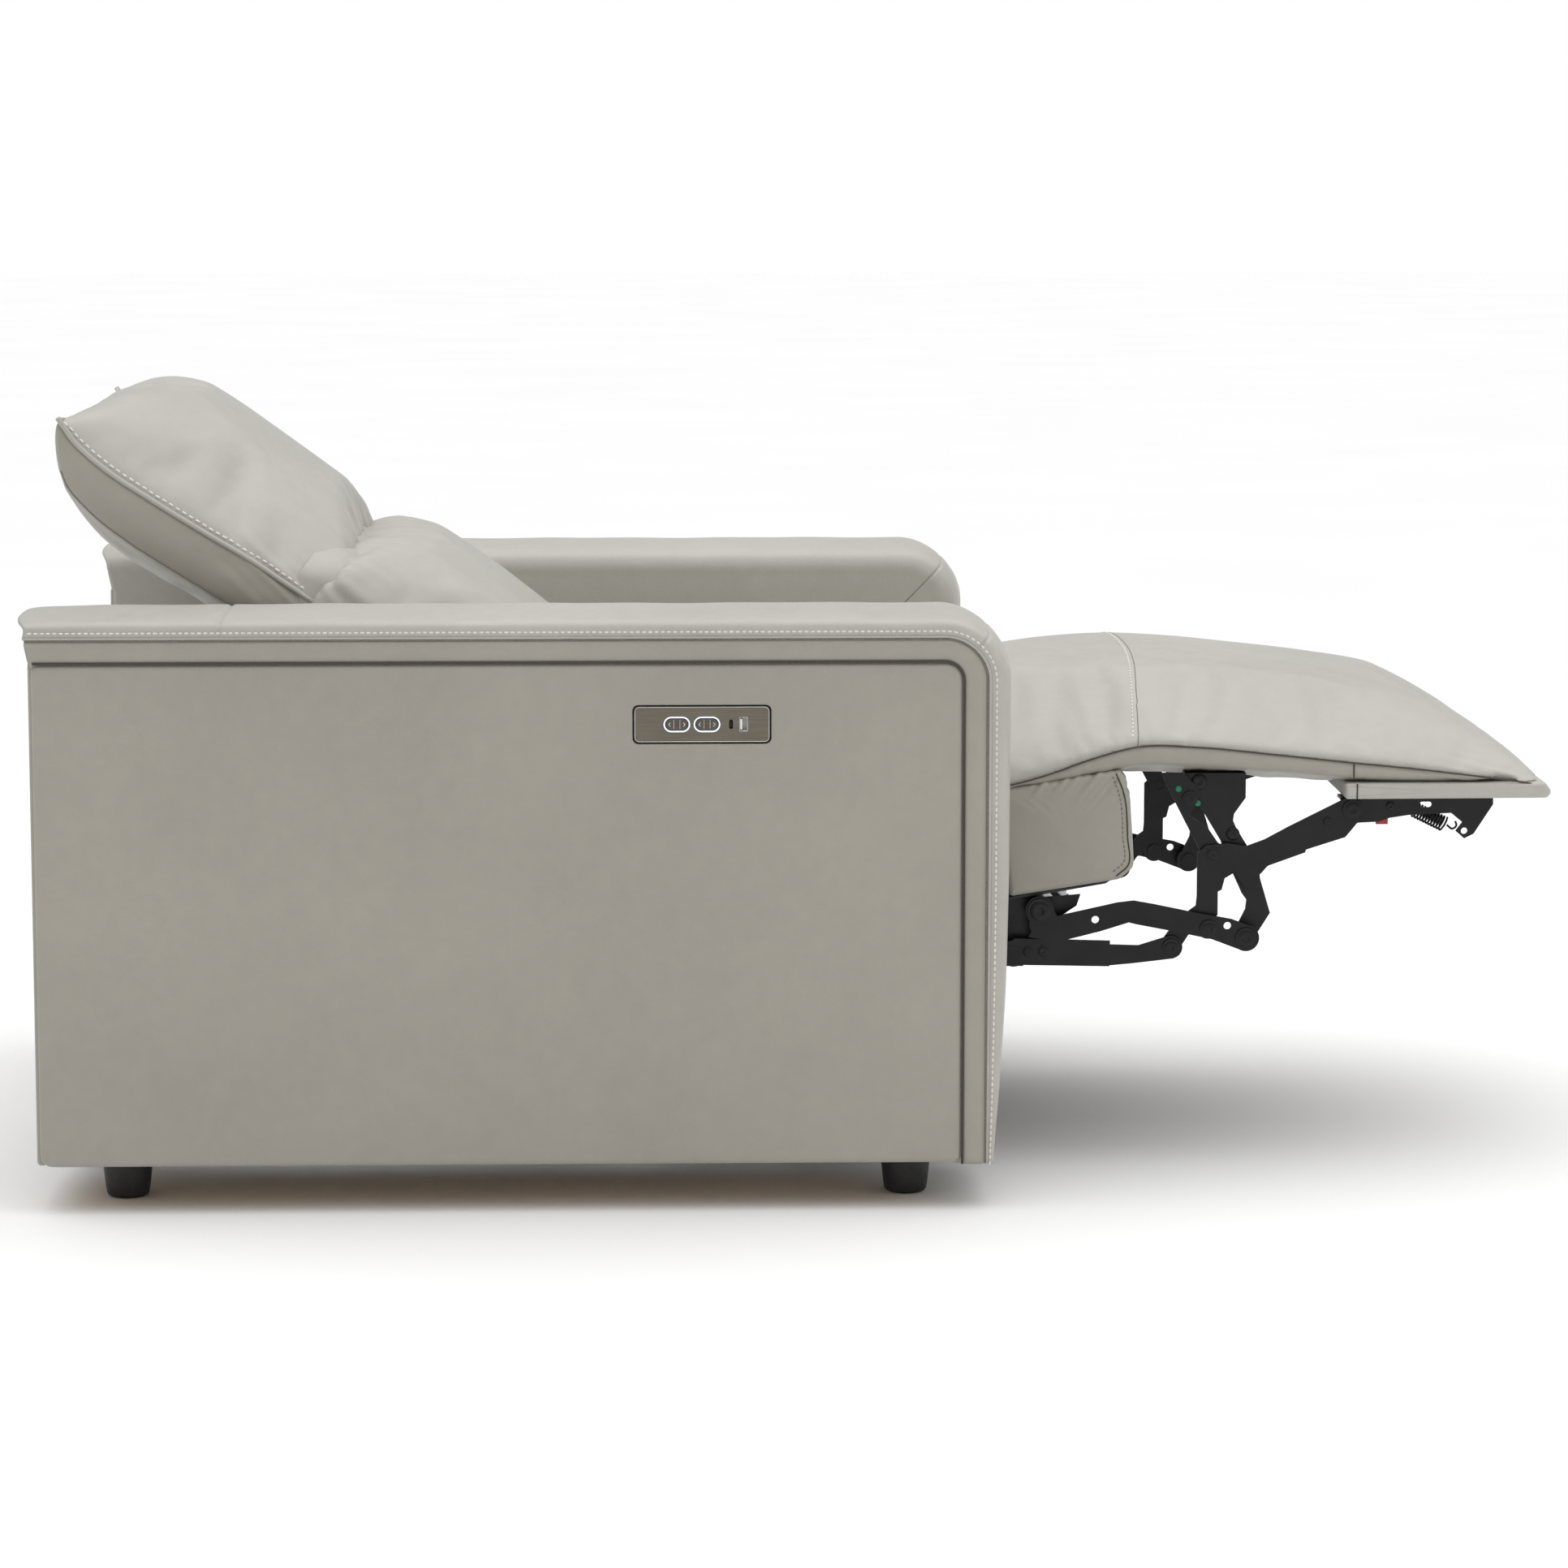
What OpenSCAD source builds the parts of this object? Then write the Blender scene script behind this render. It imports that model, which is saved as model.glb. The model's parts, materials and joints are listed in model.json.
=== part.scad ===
// Power recliner armchair, drawn with the footrest out and the back reclined.
// +X is the way the sitter faces, +Y the sitter's left, +Z up. Millimetres.
// The origin is on the floor under the middle of the whole length.

/* [Arms] */
// Outside width over both arms
chair_w = 980; // [900:5:1200]
// Length of each arm
arm_len = 1000; // [830:5:1200]
// Height of the crown of the arms above the floor
arm_h = 606; // [560:2:730]
// Width of each arm
arm_w = 190; // [150:5:230]
// Height of the feet under the arms
foot_h = 48; // [38:1:60]
// Radius of each foot at its top
foot_r = 27; // [20:1:34]
// Thickness of the padded outer and inner arm panels
panel_t = 20; // [14:1:28]
// Thickness of the padding on the arm top
pad_h = 50; // [40:1:65]
// Length of the padded roll down the front of the arm
pad_front = 56; // [46:1:70]
// Rise of the crown over the width of the arm
crown_rise = 14; // [8:1:20]

/* [Control panel] */
// Length of the control plate
plate_w = 135; // [125:1:165]
// Height of the control plate
plate_h = 36; // [30:1:44]
// Thickness of the control plate
plate_t = 3; // [2:0.5:4]
// Distance of the plate's centre from the arm's rear
plate_x = 681; // [500:1:760]
// Drop of the plate's centre below the top of the outer panel
plate_drop = 62; // [50:1:90]
// Length of a light ring round a rocker
ring_w = 26.6; // [24:0.2:28]
// Height of a light ring round a rocker
ring_h = 15.6; // [13:0.2:20]

/* [Seat] */
// Backward tilt of the seat in degrees
seat_tilt = 10; // [6:0.5:14]
// Depth of the seat cushion
seat_depth = 484; // [440:2:580]
// Thickness of the seat cushion
seat_t = 97; // [80:1:117]
// Height of the padded box under the seat's front edge
fascia_h = 118; // [110:1:130]
// Depth of that box
fascia_d = 130; // [110:1:156]
// How far the seat's front stands out past the arms when reclined
seat_out = 136; // [120:1:160]
// Height of the lower front edge of the seat's box
seat_z = 306; // [300:1:330]
// Side gap between a cushion and an arm
cushion_gap = 9; // [8:0.5:12]

/* [Backrest] */
// Angle of the reclined backrest above the horizontal, in degrees
back_angle = 35; // [30:0.5:42]
// Length of the back cushion, from hinge to headrest
back_len = 372; // [330:2:446]
// Depth of the backrest behind its hinge line
back_depth = 127; // [115:1:150]
// Length of the headrest cushion
headrest_len = 315; // [263:1:378]
// Width of the headrest cushion
headrest_w = 570; // [475:5:580]

/* [Footrest] */
// Length of the footrest pad
rest_len = 430; // [424:1:500]
// Gap from each arm to the footrest pad
rest_inset = 10; // [10:1:30]
// Thickness of the board under the footrest pad
board_t = 18; // [12:1:19]
// Length of the board under the footrest pad
board_l = 204; // [180:1:210]

/* [Mechanism] */
// Thickness of the link plates
link_t = 3; // [2:0.5:3.5]
// Gap between two neighbouring link plates
link_gap = 1; // [0.8:0.1:2]
// Radius of the pivot rivets' shanks
rivet_r = 5; // [4:0.5:6]
// Running clearance round a moving pivot
pivot_play = 0.3; // [0.1:0.1:0.5]
// Radius of the torque tube
tube_r = 11; // [9:0.5:12]

/* [Hidden] */
$fn = 64;

// Widths
inner_y = chair_w / 2 - arm_w;
cushion_y = inner_y - cushion_gap;
rest_y = min(inner_y - rest_inset, cushion_y - 1);
headrest_y = min(headrest_w / 2, cushion_y - 1);
frame_out_y = chair_w / 2 - panel_t;
frame_in_y = inner_y + panel_t;

// Heights of the arm
pad_z = arm_h - pad_h;
frame_board = 15;
frame_rail = 25;
panel_back_x = 16;
panel_front_x = arm_len - pad_front - 2;
panel_round = 28;
foot_inset = 94;

// Seat and hinge, in the seat's own tilted frame (x forward, z square to the seat)
seat_x = arm_len + seat_out;
seat_lip = 18;
seat_top = fascia_h + seat_t;
hinge_back = 12;
hinge_drop = 10;
hinge_sx = seat_lip - seat_depth - hinge_back;
hinge_sz = seat_top - hinge_drop;
hinge_x = seat_x + hinge_sx * cos(seat_tilt) - hinge_sz * sin(seat_tilt);
hinge_z = seat_z + hinge_sx * sin(seat_tilt) + hinge_sz * cos(seat_tilt);
frame_y = inner_y - 39;
frame_lo = 20;
frame_hi = 60;
post_lo = 50;
post_t = 5;
post_y = inner_y - 13;

// Backrest, as distances up the back and square to it
head_gap = 12;
head_start = back_len + head_gap;
head_end = head_start + headrest_len;
head_pivot = back_len + head_gap / 2;
head_round = 4;
shell_t = 10;
back_frame_t = 23;
back_frame_v = shell_t + 2 - back_depth;
back_frame_y = inner_y - 38;
head_arm_y = back_frame_y - 70;
head_pivot_v = -6;

// Height of the footrest's fold axis, and the lie of the pad
fold_z = seat_z + 134;
rest_x = seat_x + 5;
tip_x = rest_x + rest_len;
board_x = tip_x - 12 - board_l;
board_top = fold_z - 34;
board_z = board_top - board_t;

// Linkage: pivots from the torque tube's axis, in the plane of the links
tube_x = seat_x - 100;
tube_z = seat_z - 34;
mech_y = inner_y - 16;
pitch = link_t + link_gap;
crank_pivot = [177, -20];
ottoman_pivot = [216, -30];
lower_base = [-27, -46];
lower_end = [138, -40];
control_pivot = [182, 58];
crank_tip = [327, 104];

// Drive: the block's pin runs under the torque tube
pin_drop = 36;
crank_swing = 84.7;
pin_x = tube_x + pin_drop * tan(crank_swing / 2);
pin_r = 5;
rail_z = tube_z - pin_drop;
rail_front = pin_x + 22;
motor_x = seat_x - 396;

// The part's own origin
rear_x = hinge_x - (head_end - head_round) * cos(back_angle) - back_depth * sin(back_angle);
origin_x = (rear_x + tip_x) / 2;

function layer(n) = mech_y - n * pitch;

// ---- Helpers ----

module place() translate([-origin_x, 0, 0]) children();

module mirrored() {
  children();
  mirror([0, 1, 0]) children();
}

// A side view outline carried across the chair from y0 to y1
module across(y0, y1) translate([0, y1, 0]) rotate([90, 0, 0]) linear_extrude(y1 - y0) children();

module slab(y0, y1, x0, x1, z0, z1) translate([x0, y0, z0]) cube([x1 - x0, y1 - y0, z1 - z0]);

module rod(at, y0, y1, r) translate([at[0], y0, at[1]]) rotate([-90, 0, 0]) cylinder(r = r, h = y1 - y0);

module on_seat() translate([seat_x, 0, seat_z]) rotate([0, -seat_tilt, 0]) children();

// In the backrest's frame -x is up the back and +z is out of its front
module on_back() translate([hinge_x, 0, hinge_z]) rotate([0, back_angle, 0]) children();

module at_tube() translate([tube_x, 0, tube_z]) children();

// One link plate on the right-hand side, n layers in from the outermost
module sheet(n, t = link_t) across(-layer(n), -layer(n) + t) children();

// A rivet with its head outside layer a and its shank down to the inner face of layer b
module rivet(at, a, b, head_r, head_t, shank_r = rivet_r) {
  rod(at, -layer(a) - head_t, -layer(a), head_r);
  rod(at, -layer(a), -layer(b) + link_t, shank_r);
}

// A rivet through two plates with a shoulder filling the layers between them
module shoulder_rivet(at, a, b, head_r, head_t, tail_r) {
  shoulder_r = rivet_r + 3;
  rod(at, -layer(a) - head_t, -layer(a), head_r);
  rod(at, -layer(a), -layer(b) + link_t + 0.4, rivet_r);
  rod(at, -layer(a) + link_t, -layer(b) - 0.4, shoulder_r);
  rod(at, -layer(b) + link_t + 0.4, -layer(b) + link_t + 2.4, tail_r);
}

module stadium(w, h) {
  square([w - h, h], center = true);
  for (end = [-1, 1]) translate([end * (w - h) / 2, 0]) circle(h / 2);
}

module rounded(w, h, r) {
  square([w - 2 * r, h], center = true);
  square([w, h - 2 * r], center = true);
  for (sx = [-1, 1], sy = [-1, 1]) translate([sx * (w / 2 - r), sy * (h / 2 - r)]) circle(r);
}

// ---- Arms (the right-hand one, which the left mirrors) ----

module arm_bolt_places() for (x = [150, 640]) translate([x, 0, foot_h + 72]) children();

module foot_places(x) translate([x, -(chair_w / 2 - arm_w / 2), 0]) children();

foot_xs = [foot_inset, arm_len - foot_inset - 16];

// A board on the seat's side with four rails round its edge, a glue line between each two
glue_line = 0.2;

module arm_frame() color("burlywood") {
  x0 = panel_back_x + 2;
  x1 = panel_front_x;
  rail_y = -frame_in_y - frame_board - glue_line;
  rail_hi = pad_z - frame_rail;
  difference() {
    slab(-frame_in_y - frame_board, -frame_in_y, x0, x1, foot_h, pad_z);
    arm_bolt_places() rod([0, 0], -frame_in_y - frame_board - 1, -frame_in_y + 1, 4);
  }
  difference() {
    slab(-frame_out_y, rail_y, x0, x1, foot_h, foot_h + frame_rail);
    for (x = foot_xs) foot_places(x) translate([0, 0, foot_h - 1]) cylinder(r = 4, h = 21);
  }
  slab(-frame_out_y, rail_y, x0, x1, rail_hi, pad_z);
  for (x = [x0, x1 - frame_rail])
    slab(-frame_out_y, rail_y, x, x + frame_rail, foot_h + frame_rail + glue_line, rail_hi - glue_line);
}

module panel_outline(x0, x1, z0, z1) {
  difference() {
    translate([x0, z0]) square([x1 - x0, z1 - z0]);
    translate([x1 - panel_round, z1 - panel_round]) square(panel_round + 1);
  }
  intersection() {
    translate([x1 - panel_round, z1 - panel_round]) circle(panel_round);
    translate([x1 - panel_round, z1 - panel_round]) square(panel_round);
  }
}

module outer_panel() across(-chair_w / 2, -frame_out_y)
  panel_outline(panel_back_x, panel_front_x, foot_h, pad_z);

module inner_panel() color("silver") difference() {
  across(-frame_in_y, -inner_y) panel_outline(panel_back_x, panel_front_x, foot_h, pad_z);
  arm_bolt_places() rod([0, 0], -frame_in_y - 1, -inner_y + 1, 4);
}

module plate_hole(extra) translate([plate_x, pad_z - plate_drop]) rounded(plate_w + extra, plate_h + extra, 5);

module right_panel_with_pocket() color("darkgray") difference() {
  outer_panel();
  across(-chair_w / 2 - 1, -frame_out_y + 1) plate_hole(0.6);
}

// Top roll and front roll in one bent pad, crowned across the arm
module arm_pad() color("lightgray") {
  mid = -(chair_w / 2 - arm_w / 2);
  crown_r = (pow(arm_w / 2, 2) + pow(crown_rise, 2)) / (2 * crown_rise);
  front_r = 40;
  intersection() {
    across(-chair_w / 2, -inner_y) difference() {
      union() {
        translate([-2, pad_z]) square([arm_len - front_r + 2, pad_h]);
        translate([arm_len - pad_front, foot_h - 2]) square([pad_front, arm_h - front_r - foot_h + 2]);
        translate([arm_len - front_r, arm_h - front_r]) circle(front_r);
      }
      translate([-10, 0]) square([panel_front_x + 10, pad_z]);
    }
    translate([0, mid, arm_h - crown_r]) rotate([0, 90, 0]) translate([0, 0, -10]) union() {
      cylinder(r = crown_r, h = arm_len + 20, $fn = 128);
      translate([0, -arm_w / 2, 0]) cube([arm_h, arm_w, arm_len + 20]);
    }
  }
}

module foot(x) color("black") foot_places(x) difference() {
  cylinder(r1 = foot_r - 5, r2 = foot_r, h = foot_h);
  translate([0, 0, foot_h - 20]) cylinder(r = 4, h = 21);
}

// ---- Base ----

rail_back = 60;
rail_end = arm_len - 270;
track_lo = tube_z - 50;
track_hi = track_lo + 40;
tube_side = 28;

module base_rail() difference() {
  union() {
    slab(-inner_y, -inner_y + 3, rail_back, rail_end, foot_h + 14, track_hi);
    slab(-inner_y, -inner_y + 30, rail_back, rail_end, foot_h + 14, foot_h + 17);
  }
  arm_bolt_places() rod([0, 0], -inner_y - 1, -inner_y + 4, 4);
}

module slide_track() {
  slab(-inner_y + 3, -inner_y + 6, rail_back + 10, rail_end, track_lo, track_hi);
  slab(-inner_y + 3, -inner_y + 15, rail_back + 10, rail_end, track_lo, track_lo + 3);
  slab(-inner_y + 3, -inner_y + 15, rail_back + 10, rail_end, track_hi - 3, track_hi);
}

module base_rails() color("dimgray") mirrored() base_rail();
module slide_tracks() color("gray") mirrored() slide_track();

module base_cross_tubes() color("dimgray") for (x = [rail_back, rail_end - 40]) difference() {
  slab(-inner_y + 3, inner_y - 3, x, x + tube_side, foot_h + 17, foot_h + 17 + tube_side);
  slab(-inner_y, inner_y, x + 2, x + tube_side - 2, foot_h + 19, foot_h + 15 + tube_side);
}

module rear_panel() color("darkgray") slab(-inner_y, inner_y, panel_back_x, panel_back_x + 18,
  foot_h + 12, foot_h + 250);

module foot_bolts() color("silver") mirrored() for (x = foot_xs) foot_places(x)
  translate([0, 0, foot_h - 20]) cylinder(r = 4, h = 40);

module arm_bolts() color("silver") mirrored() arm_bolt_places() union() {
  rod([0, 0], -frame_in_y - frame_board, -inner_y + 3, 4);
  rod([0, 0], -inner_y + 3, -inner_y + 8, 8);
}

module power_box() color("black") slab(-60, 60, rail_back + tube_side, rail_back + tube_side + 70,
  foot_h + 17, foot_h + 57);

module power_inlet() color("dimgray") translate([rail_back + tube_side + 70, 0, foot_h + 37])
  rotate([0, 90, 0]) difference() {
    cylinder(r = 9, h = 10);
    translate([0, 0, 3]) cylinder(r = 6, h = 8);
  }

// ---- Control panel, in the outer face of the right arm ----

plate_face = -chair_w / 2 + 2;
plate_z = pad_z - plate_drop;
rocker_xs = [plate_x - 25, plate_x + 5];
usb_c_x = plate_x + 29;
usb_a_x = plate_x + 41.5;
ring_wall = 1.5;
rocker_gap = 0.9;
usb_a = [8.3, 14.5];
usb_c = [4, 9.7];

module usb_slots(extra) {
  translate([usb_c_x, plate_z]) rotate(90) stadium(usb_c[1] + extra, usb_c[0] + extra);
  translate([usb_a_x, plate_z]) square([usb_a[0] + extra, usb_a[1] + extra], center = true);
}

module control_plate() color("#6b6257") across(plate_face, plate_face + plate_t) difference() {
  plate_hole(0);
  for (x = rocker_xs) translate([x, plate_z]) stadium(ring_w, ring_h);
  usb_slots(0);
}

module switch_housing() color("black") difference() {
  slab(plate_face + plate_t, plate_face + 38, plate_x - plate_w / 2 + 6, plate_x + plate_w / 2 - 6,
       plate_z - plate_h / 2 + 3, plate_z + plate_h / 2 - 3);
  for (x = rocker_xs) slab(plate_face, plate_face + 14, x - ring_w / 2 - 0.5, x + ring_w / 2 + 0.5,
    plate_z - ring_h / 2 - 0.5, plate_z + ring_h / 2 + 0.5);
  across(plate_face, plate_face + 16) usb_slots(0.4);
}

module light_rings() color("lightskyblue") across(plate_face - 0.5, plate_face + plate_t)
  for (x = rocker_xs) translate([x, plate_z]) difference() {
    stadium(ring_w, ring_h);
    stadium(ring_w - 2 * ring_wall, ring_h - 2 * ring_wall);
  }

// The rocker turns about an upright pin behind the plate
module rocker(x) color("#4b443c") {
  w = ring_w - 2 * (ring_wall + rocker_gap);
  h = ring_h - 2 * (ring_wall + rocker_gap);
  across(plate_face - 0.5, plate_face + 4.5) translate([x, plate_z]) stadium(w, h);
  slab(plate_face + 4.5, plate_face + 7, x - 4, x + 4, plate_z - 4, plate_z + 4);
  translate([x, plate_face + 7, plate_z - 5]) cylinder(r = 1.5, h = 10);
}

module usb_a_socket() color("white") difference() {
  across(plate_face + 0.5, plate_face + 14) translate([usb_a_x, plate_z]) square(usb_a, center = true);
  across(plate_face, plate_face + 12) translate([usb_a_x, plate_z]) difference() {
    square([usb_a[0] - 1, usb_a[1] - 1], center = true);
    translate([-3.4, -5]) square([2, 10]);
  }
}

module usb_c_socket() color("black") difference() {
  across(plate_face + 0.5, plate_face + 10) translate([usb_c_x, plate_z]) rotate(90) stadium(usb_c[1], usb_c[0]);
  across(plate_face, plate_face + 8) translate([usb_c_x, plate_z]) rotate(90) difference() {
    stadium(usb_c[1] - 1, usb_c[0] - 1);
    square([6, 0.8], center = true);
  }
}

// ---- Seat carriage ----

frame_front = -fascia_d;
frame_rear = hinge_sx - 22;

module seat_frame() color("dimgray") {
  on_seat() union() {
    mirrored() slab(-frame_y, -frame_y + 21, frame_rear, frame_front, frame_lo, frame_hi);
    for (x = [frame_rear, frame_front - 25]) slab(-frame_y, frame_y, x, x + 25, frame_lo, frame_hi);
    mirrored() slab(-post_y - post_t, -frame_y + 1, frame_rear, frame_rear + 25, post_lo, frame_hi);
    mirrored() difference() {
      union() {
        slab(-post_y - post_t, -post_y, frame_rear, frame_rear + 25, post_lo, hinge_sz - 4);
        rod([hinge_sx, hinge_sz], -post_y - post_t, -post_y, 11);
      }
      rod([hinge_sx, hinge_sz], -post_y - post_t - 1, -post_y + 1, rivet_r + pivot_play);
    }
  }
  slab(-frame_y, frame_y, motor_x - 25, motor_x + 25, rail_z + 11, rail_z + 14);
}

module seat_webbing() color("black") on_seat() for (n = [-2 : 2])
  slab(n * 88 - 25, n * 88 + 25, frame_rear, frame_front, frame_hi, frame_hi + 2);

module seat_cushion() color("lightgray") on_seat() across(-cushion_y, cushion_y) {
  r = 30;
  x0 = seat_lip - seat_depth;
  translate([x0, fascia_h]) square([seat_depth, seat_t - r]);
  translate([x0, fascia_h]) square([seat_depth - r, seat_t]);
  translate([seat_lip - r, seat_top - r]) circle(r);
  translate([x0, frame_hi + 4]) square([frame_front - x0 - 1, fascia_h - frame_hi - 3]);
}

module seat_fascia() color("darkgray") on_seat() across(-cushion_y + 1, cushion_y - 1)
  translate([-fascia_d, 0]) square([fascia_d, fascia_h - 0.3]);

plate_rear = seat_x - 656;

module carriage_plate() sheet(5) difference() {
  polygon([
    [plate_rear, tube_z - 50], [tube_x - 46, tube_z - 62], [tube_x - 16, tube_z - 62],
    [tube_x + 22, tube_z - 10], [tube_x + 40, tube_z + 2], [tube_x + 44, tube_z + 14], [tube_x + 20, tube_z + 12],
    [tube_x - 34, tube_z + 9], [tube_x - 50, tube_z + 52], [plate_rear + 200, tube_z - 10],
    [plate_rear, tube_z - 12],
  ]);
  translate([tube_x, tube_z]) circle(8 + pivot_play);
  translate([tube_x, tube_z] + lower_base) circle(rivet_r);
}

module carriage_plates() color("black") mirrored() carriage_plate();

module seat_runners() color("gray") mirrored()
  slab(-inner_y + 10, -layer(5), plate_rear, tube_x - 136, track_lo + 4, track_hi - 4);

module carriage_rivets() color("black") mirrored() at_tube()
  rivet(lower_base, 1, 5, rivet_r + 4, 0.7);

module drive_motor() color("black") {
  slab(-30, 30, motor_x - 25, motor_x + 25, rail_z - 30, rail_z + 11);
  rod([motor_x, rail_z - 12], 30, 130, 21);
}

module drive_rail() color("silver")
  slab(-8, 8, motor_x + 25, rail_front, rail_z - 8, rail_z + 8);

module drive_block() color("gray") {
  difference() {
    slab(-16, 16, pin_x - 18, pin_x + 18, rail_z - 16, rail_z + 16);
    slab(-9, 9, pin_x - 19, pin_x + 19, rail_z - 9, rail_z + 9);
  }
  mirrored() rod([pin_x, rail_z], -31, -16, pin_r);
}

// ---- Linkage ----

// Cross tube turned by the drive, with two slotted levers for the block's pin
module torque_tube() color("black") at_tube() {
  swing = 90 - crank_swing / 2;
  near = pin_drop - 10;
  far = pin_drop / cos(crank_swing / 2) + 8;
  rod([0, 0], -layer(5) + link_t + 1, layer(5) - link_t - 1, tube_r);
  mirrored() rod([0, 0], -layer(0), -layer(5) + link_t + 1, 8);
  mirrored() across(-26, -20) rotate(-swing) difference() {
    union() {
      circle(tube_r + 3);
      translate([0, -15]) square([far + 6, 30]);
    }
    translate([near, -8.8]) square([far - near, 17.6]);
    circle(tube_r);
  }
}

module drive_link() at_tube() sheet(0) difference() {
  union() {
    circle(15);
    translate([4, -14]) circle(15);
    polygon([
      [-12, -28], [20, -33], [64, -22], [93, -13], [101, -15], [137, -22], [180, -31], [214, -44],
      [222, -18], [201, -10], [158, -2], [120, 6], [98, 10], [81, 8], [18, -6], [10, 10],
    ]);
    translate(ottoman_pivot) circle(14);
  }
  circle(8);
  translate(crank_pivot) circle(rivet_r);
  translate(ottoman_pivot) circle(rivet_r);
  translate([(crank_pivot[0] + ottoman_pivot[0]) / 2, -17]) circle(4);
  translate([58, -10]) circle(4);
}

module drive_links() color("black") mirrored() drive_link();

module drive_link_rivets() color("black") mirrored() at_tube() {
  rod([0, 0], -layer(0) - 3, -layer(0), 13);
  shoulder_rivet(crank_pivot, 0, 2, 9.5, 2.5, 8);
  shoulder_rivet(ottoman_pivot, 0, 4, 11, 2.5, 8);
}

module lower_link() at_tube() sheet(1) difference() {
  union() {
    polygon([
      [-27, -30], [74, -33], [74, -37], [104, -38], [136, -28], [141, -52], [97, -57],
      [74, -59], [73, -60], [-27, -58],
    ]);
    translate(lower_base) circle(14);
    translate(lower_end) circle(12);
  }
  translate(lower_base) circle(rivet_r + pivot_play);
  translate(lower_end) circle(rivet_r);
}

module lower_links() color("black") mirrored() lower_link();

module lower_link_rivets() color("black") mirrored() at_tube() {
  rivet(lower_end, 1, 1, 9, 2.5);
  for (x = [-12, 4]) rod([x, -44], -layer(1) - 0.7, -layer(1), 6);
}

// Three-cornered crank: pivot leg, window, and the long arm up to the footrest
module bellcrank() at_tube() sheet(2) difference() {
  union() {
    polygon([
      [128, -34], [146, -44], [157, -27], [187, -7], [204, 15], [232, 37], [239, 45],
      [278, 59], [279, 62], [320, 75], [334, 92], [334, 110], [320, 116], [260, 86], [236, 73],
      [217, 66], [196, 69], [174, 67], [165, 59], [165, 13], [164, 3], [157, -2], [137, -22],
    ]);
    translate(crank_pivot) circle(12);
    translate(lower_end) circle(11);
    translate(crank_tip) circle(11);
  }
  polygon([[187, -7], [187, 18], [191, 20], [194, 32], [204, 38], [214, 24], [204, 0]]);
  translate(crank_pivot) circle(rivet_r + pivot_play);
  translate(control_pivot) circle(rivet_r);
  translate(crank_tip) circle(rivet_r);
}

module bellcranks() color("black") mirrored() bellcrank();

module bellcrank_rivets() color("black") mirrored() at_tube() {
  rivet(crank_tip, 2, 2, 10.5, 2.5);
  rod(control_pivot, -layer(2) - 0.8, -layer(2), 7);
  rod(control_pivot, -layer(2), -layer(3) + link_t, rivet_r);
  rod([301, 92], -layer(2) - 1, -layer(2), 4);
}

// Upright from the drive link's end, with a flange that the folded pad rests near
module ottoman_link() at_tube() {
  sheet(4) difference() {
    union() {
      polygon([
        [215, -38], [225, -35], [243, -6], [232, 31], [231, 46], [217, 67], [206, 85],
        [203, 92], [204, 99], [216, 116], [216, 139], [152, 139], [165, 112], [175, 96],
        [190, 71], [203, 37], [213, 15], [218, 8], [217, -2], [210, -16], [205, -28],
      ]);
      translate(ottoman_pivot) circle(13);
    }
    translate(ottoman_pivot) circle(rivet_r + pivot_play);
  }
  slab(-layer(4), -layer(4) + 34, 152, 216, 139, 142);
}

module ottoman_links() color("black") mirrored() ottoman_link();

module control_link() at_tube() sheet(3) difference() {
  union() {
    translate(control_pivot) circle(12);
    polygon([
      [128, 143], [150, 143], [165, 128], [165, 112], [157, 98], [176, 85], [192, 62], [182, 48],
      [170, 58], [153, 90], [131, 133],
    ]);
  }
  translate(control_pivot) circle(rivet_r + pivot_play);
}

module control_links() color("black") mirrored() {
  control_link();
  at_tube() rod([157, 116], -layer(3) - 2.5, -layer(3), 8);
}

// ---- Footrest ----

module footrest_board() color("tan") difference() {
  slab(-rest_y, rest_y, board_x, board_x + board_l, board_z, board_top);
  mirrored() slab(-layer(2) - 4, -layer(3) + link_t, board_x - 1, board_x + 60, board_z - 1, board_top + 1);
}

module footrest_pad() color("lightgray") across(-rest_y, rest_y) {
  under = board_top + 0.5;
  polygon([
    [rest_x, fold_z - 13], [rest_x, fold_z + 78], [rest_x + 40, fold_z + 83],
    [rest_x + 111, fold_z + 76], [rest_x + 200, fold_z + 66], [tip_x - 141, fold_z + 51],
    [tip_x - 91, fold_z + 34], [tip_x - 32, fold_z - 3], [tip_x - 4, fold_z - 34],
    [tip_x, fold_z - 44], [tip_x - 2, fold_z - 54], [tip_x - 11, fold_z - 54],
    [tip_x - 11, under], [board_x - 1, under], [rest_x + 104, fold_z - 19],
  ]);
}

module footrest_bracket() {
  lift = board_z;
  sheet(4) difference() {
    polygon([
      [board_x - 3, lift], [board_x - 4, lift - 18], [board_x + 14, lift - 27], [board_x + 36, lift - 26],
      [board_x + 48, lift - 22], [board_x + 68, lift - 19], [board_x + 113, lift - 17], [board_x + 125, lift - 27],
      [board_x + 118, lift - 36], [board_x + 127, lift - 44], [board_x + 137, lift - 39],
      [board_x + 157, lift - 8], [board_x + 157, lift],
    ]);
    translate([board_x + 127, lift - 36]) circle(3.5);
    translate([board_x + 86, lift - 8]) stadium(13, 6);
  }
  slab(-layer(4), -layer(4) + 28, board_x - 3, board_x + 157, lift - 3, lift);
}

module footrest_brackets() color("black") mirrored() footrest_bracket();

// Outer shape of the coil spring beside each bracket
module footrest_springs() color("black") mirrored() {
  coil_y = -layer(4) + link_t + 11;
  translate([board_x + 74, coil_y, board_z - 14]) rotate([0, 90 + 26, 0]) difference() {
    cylinder(r = 9, h = 40);
    translate([0, 0, -1]) cylinder(r = 6.6, h = 42);
  }
}

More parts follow.
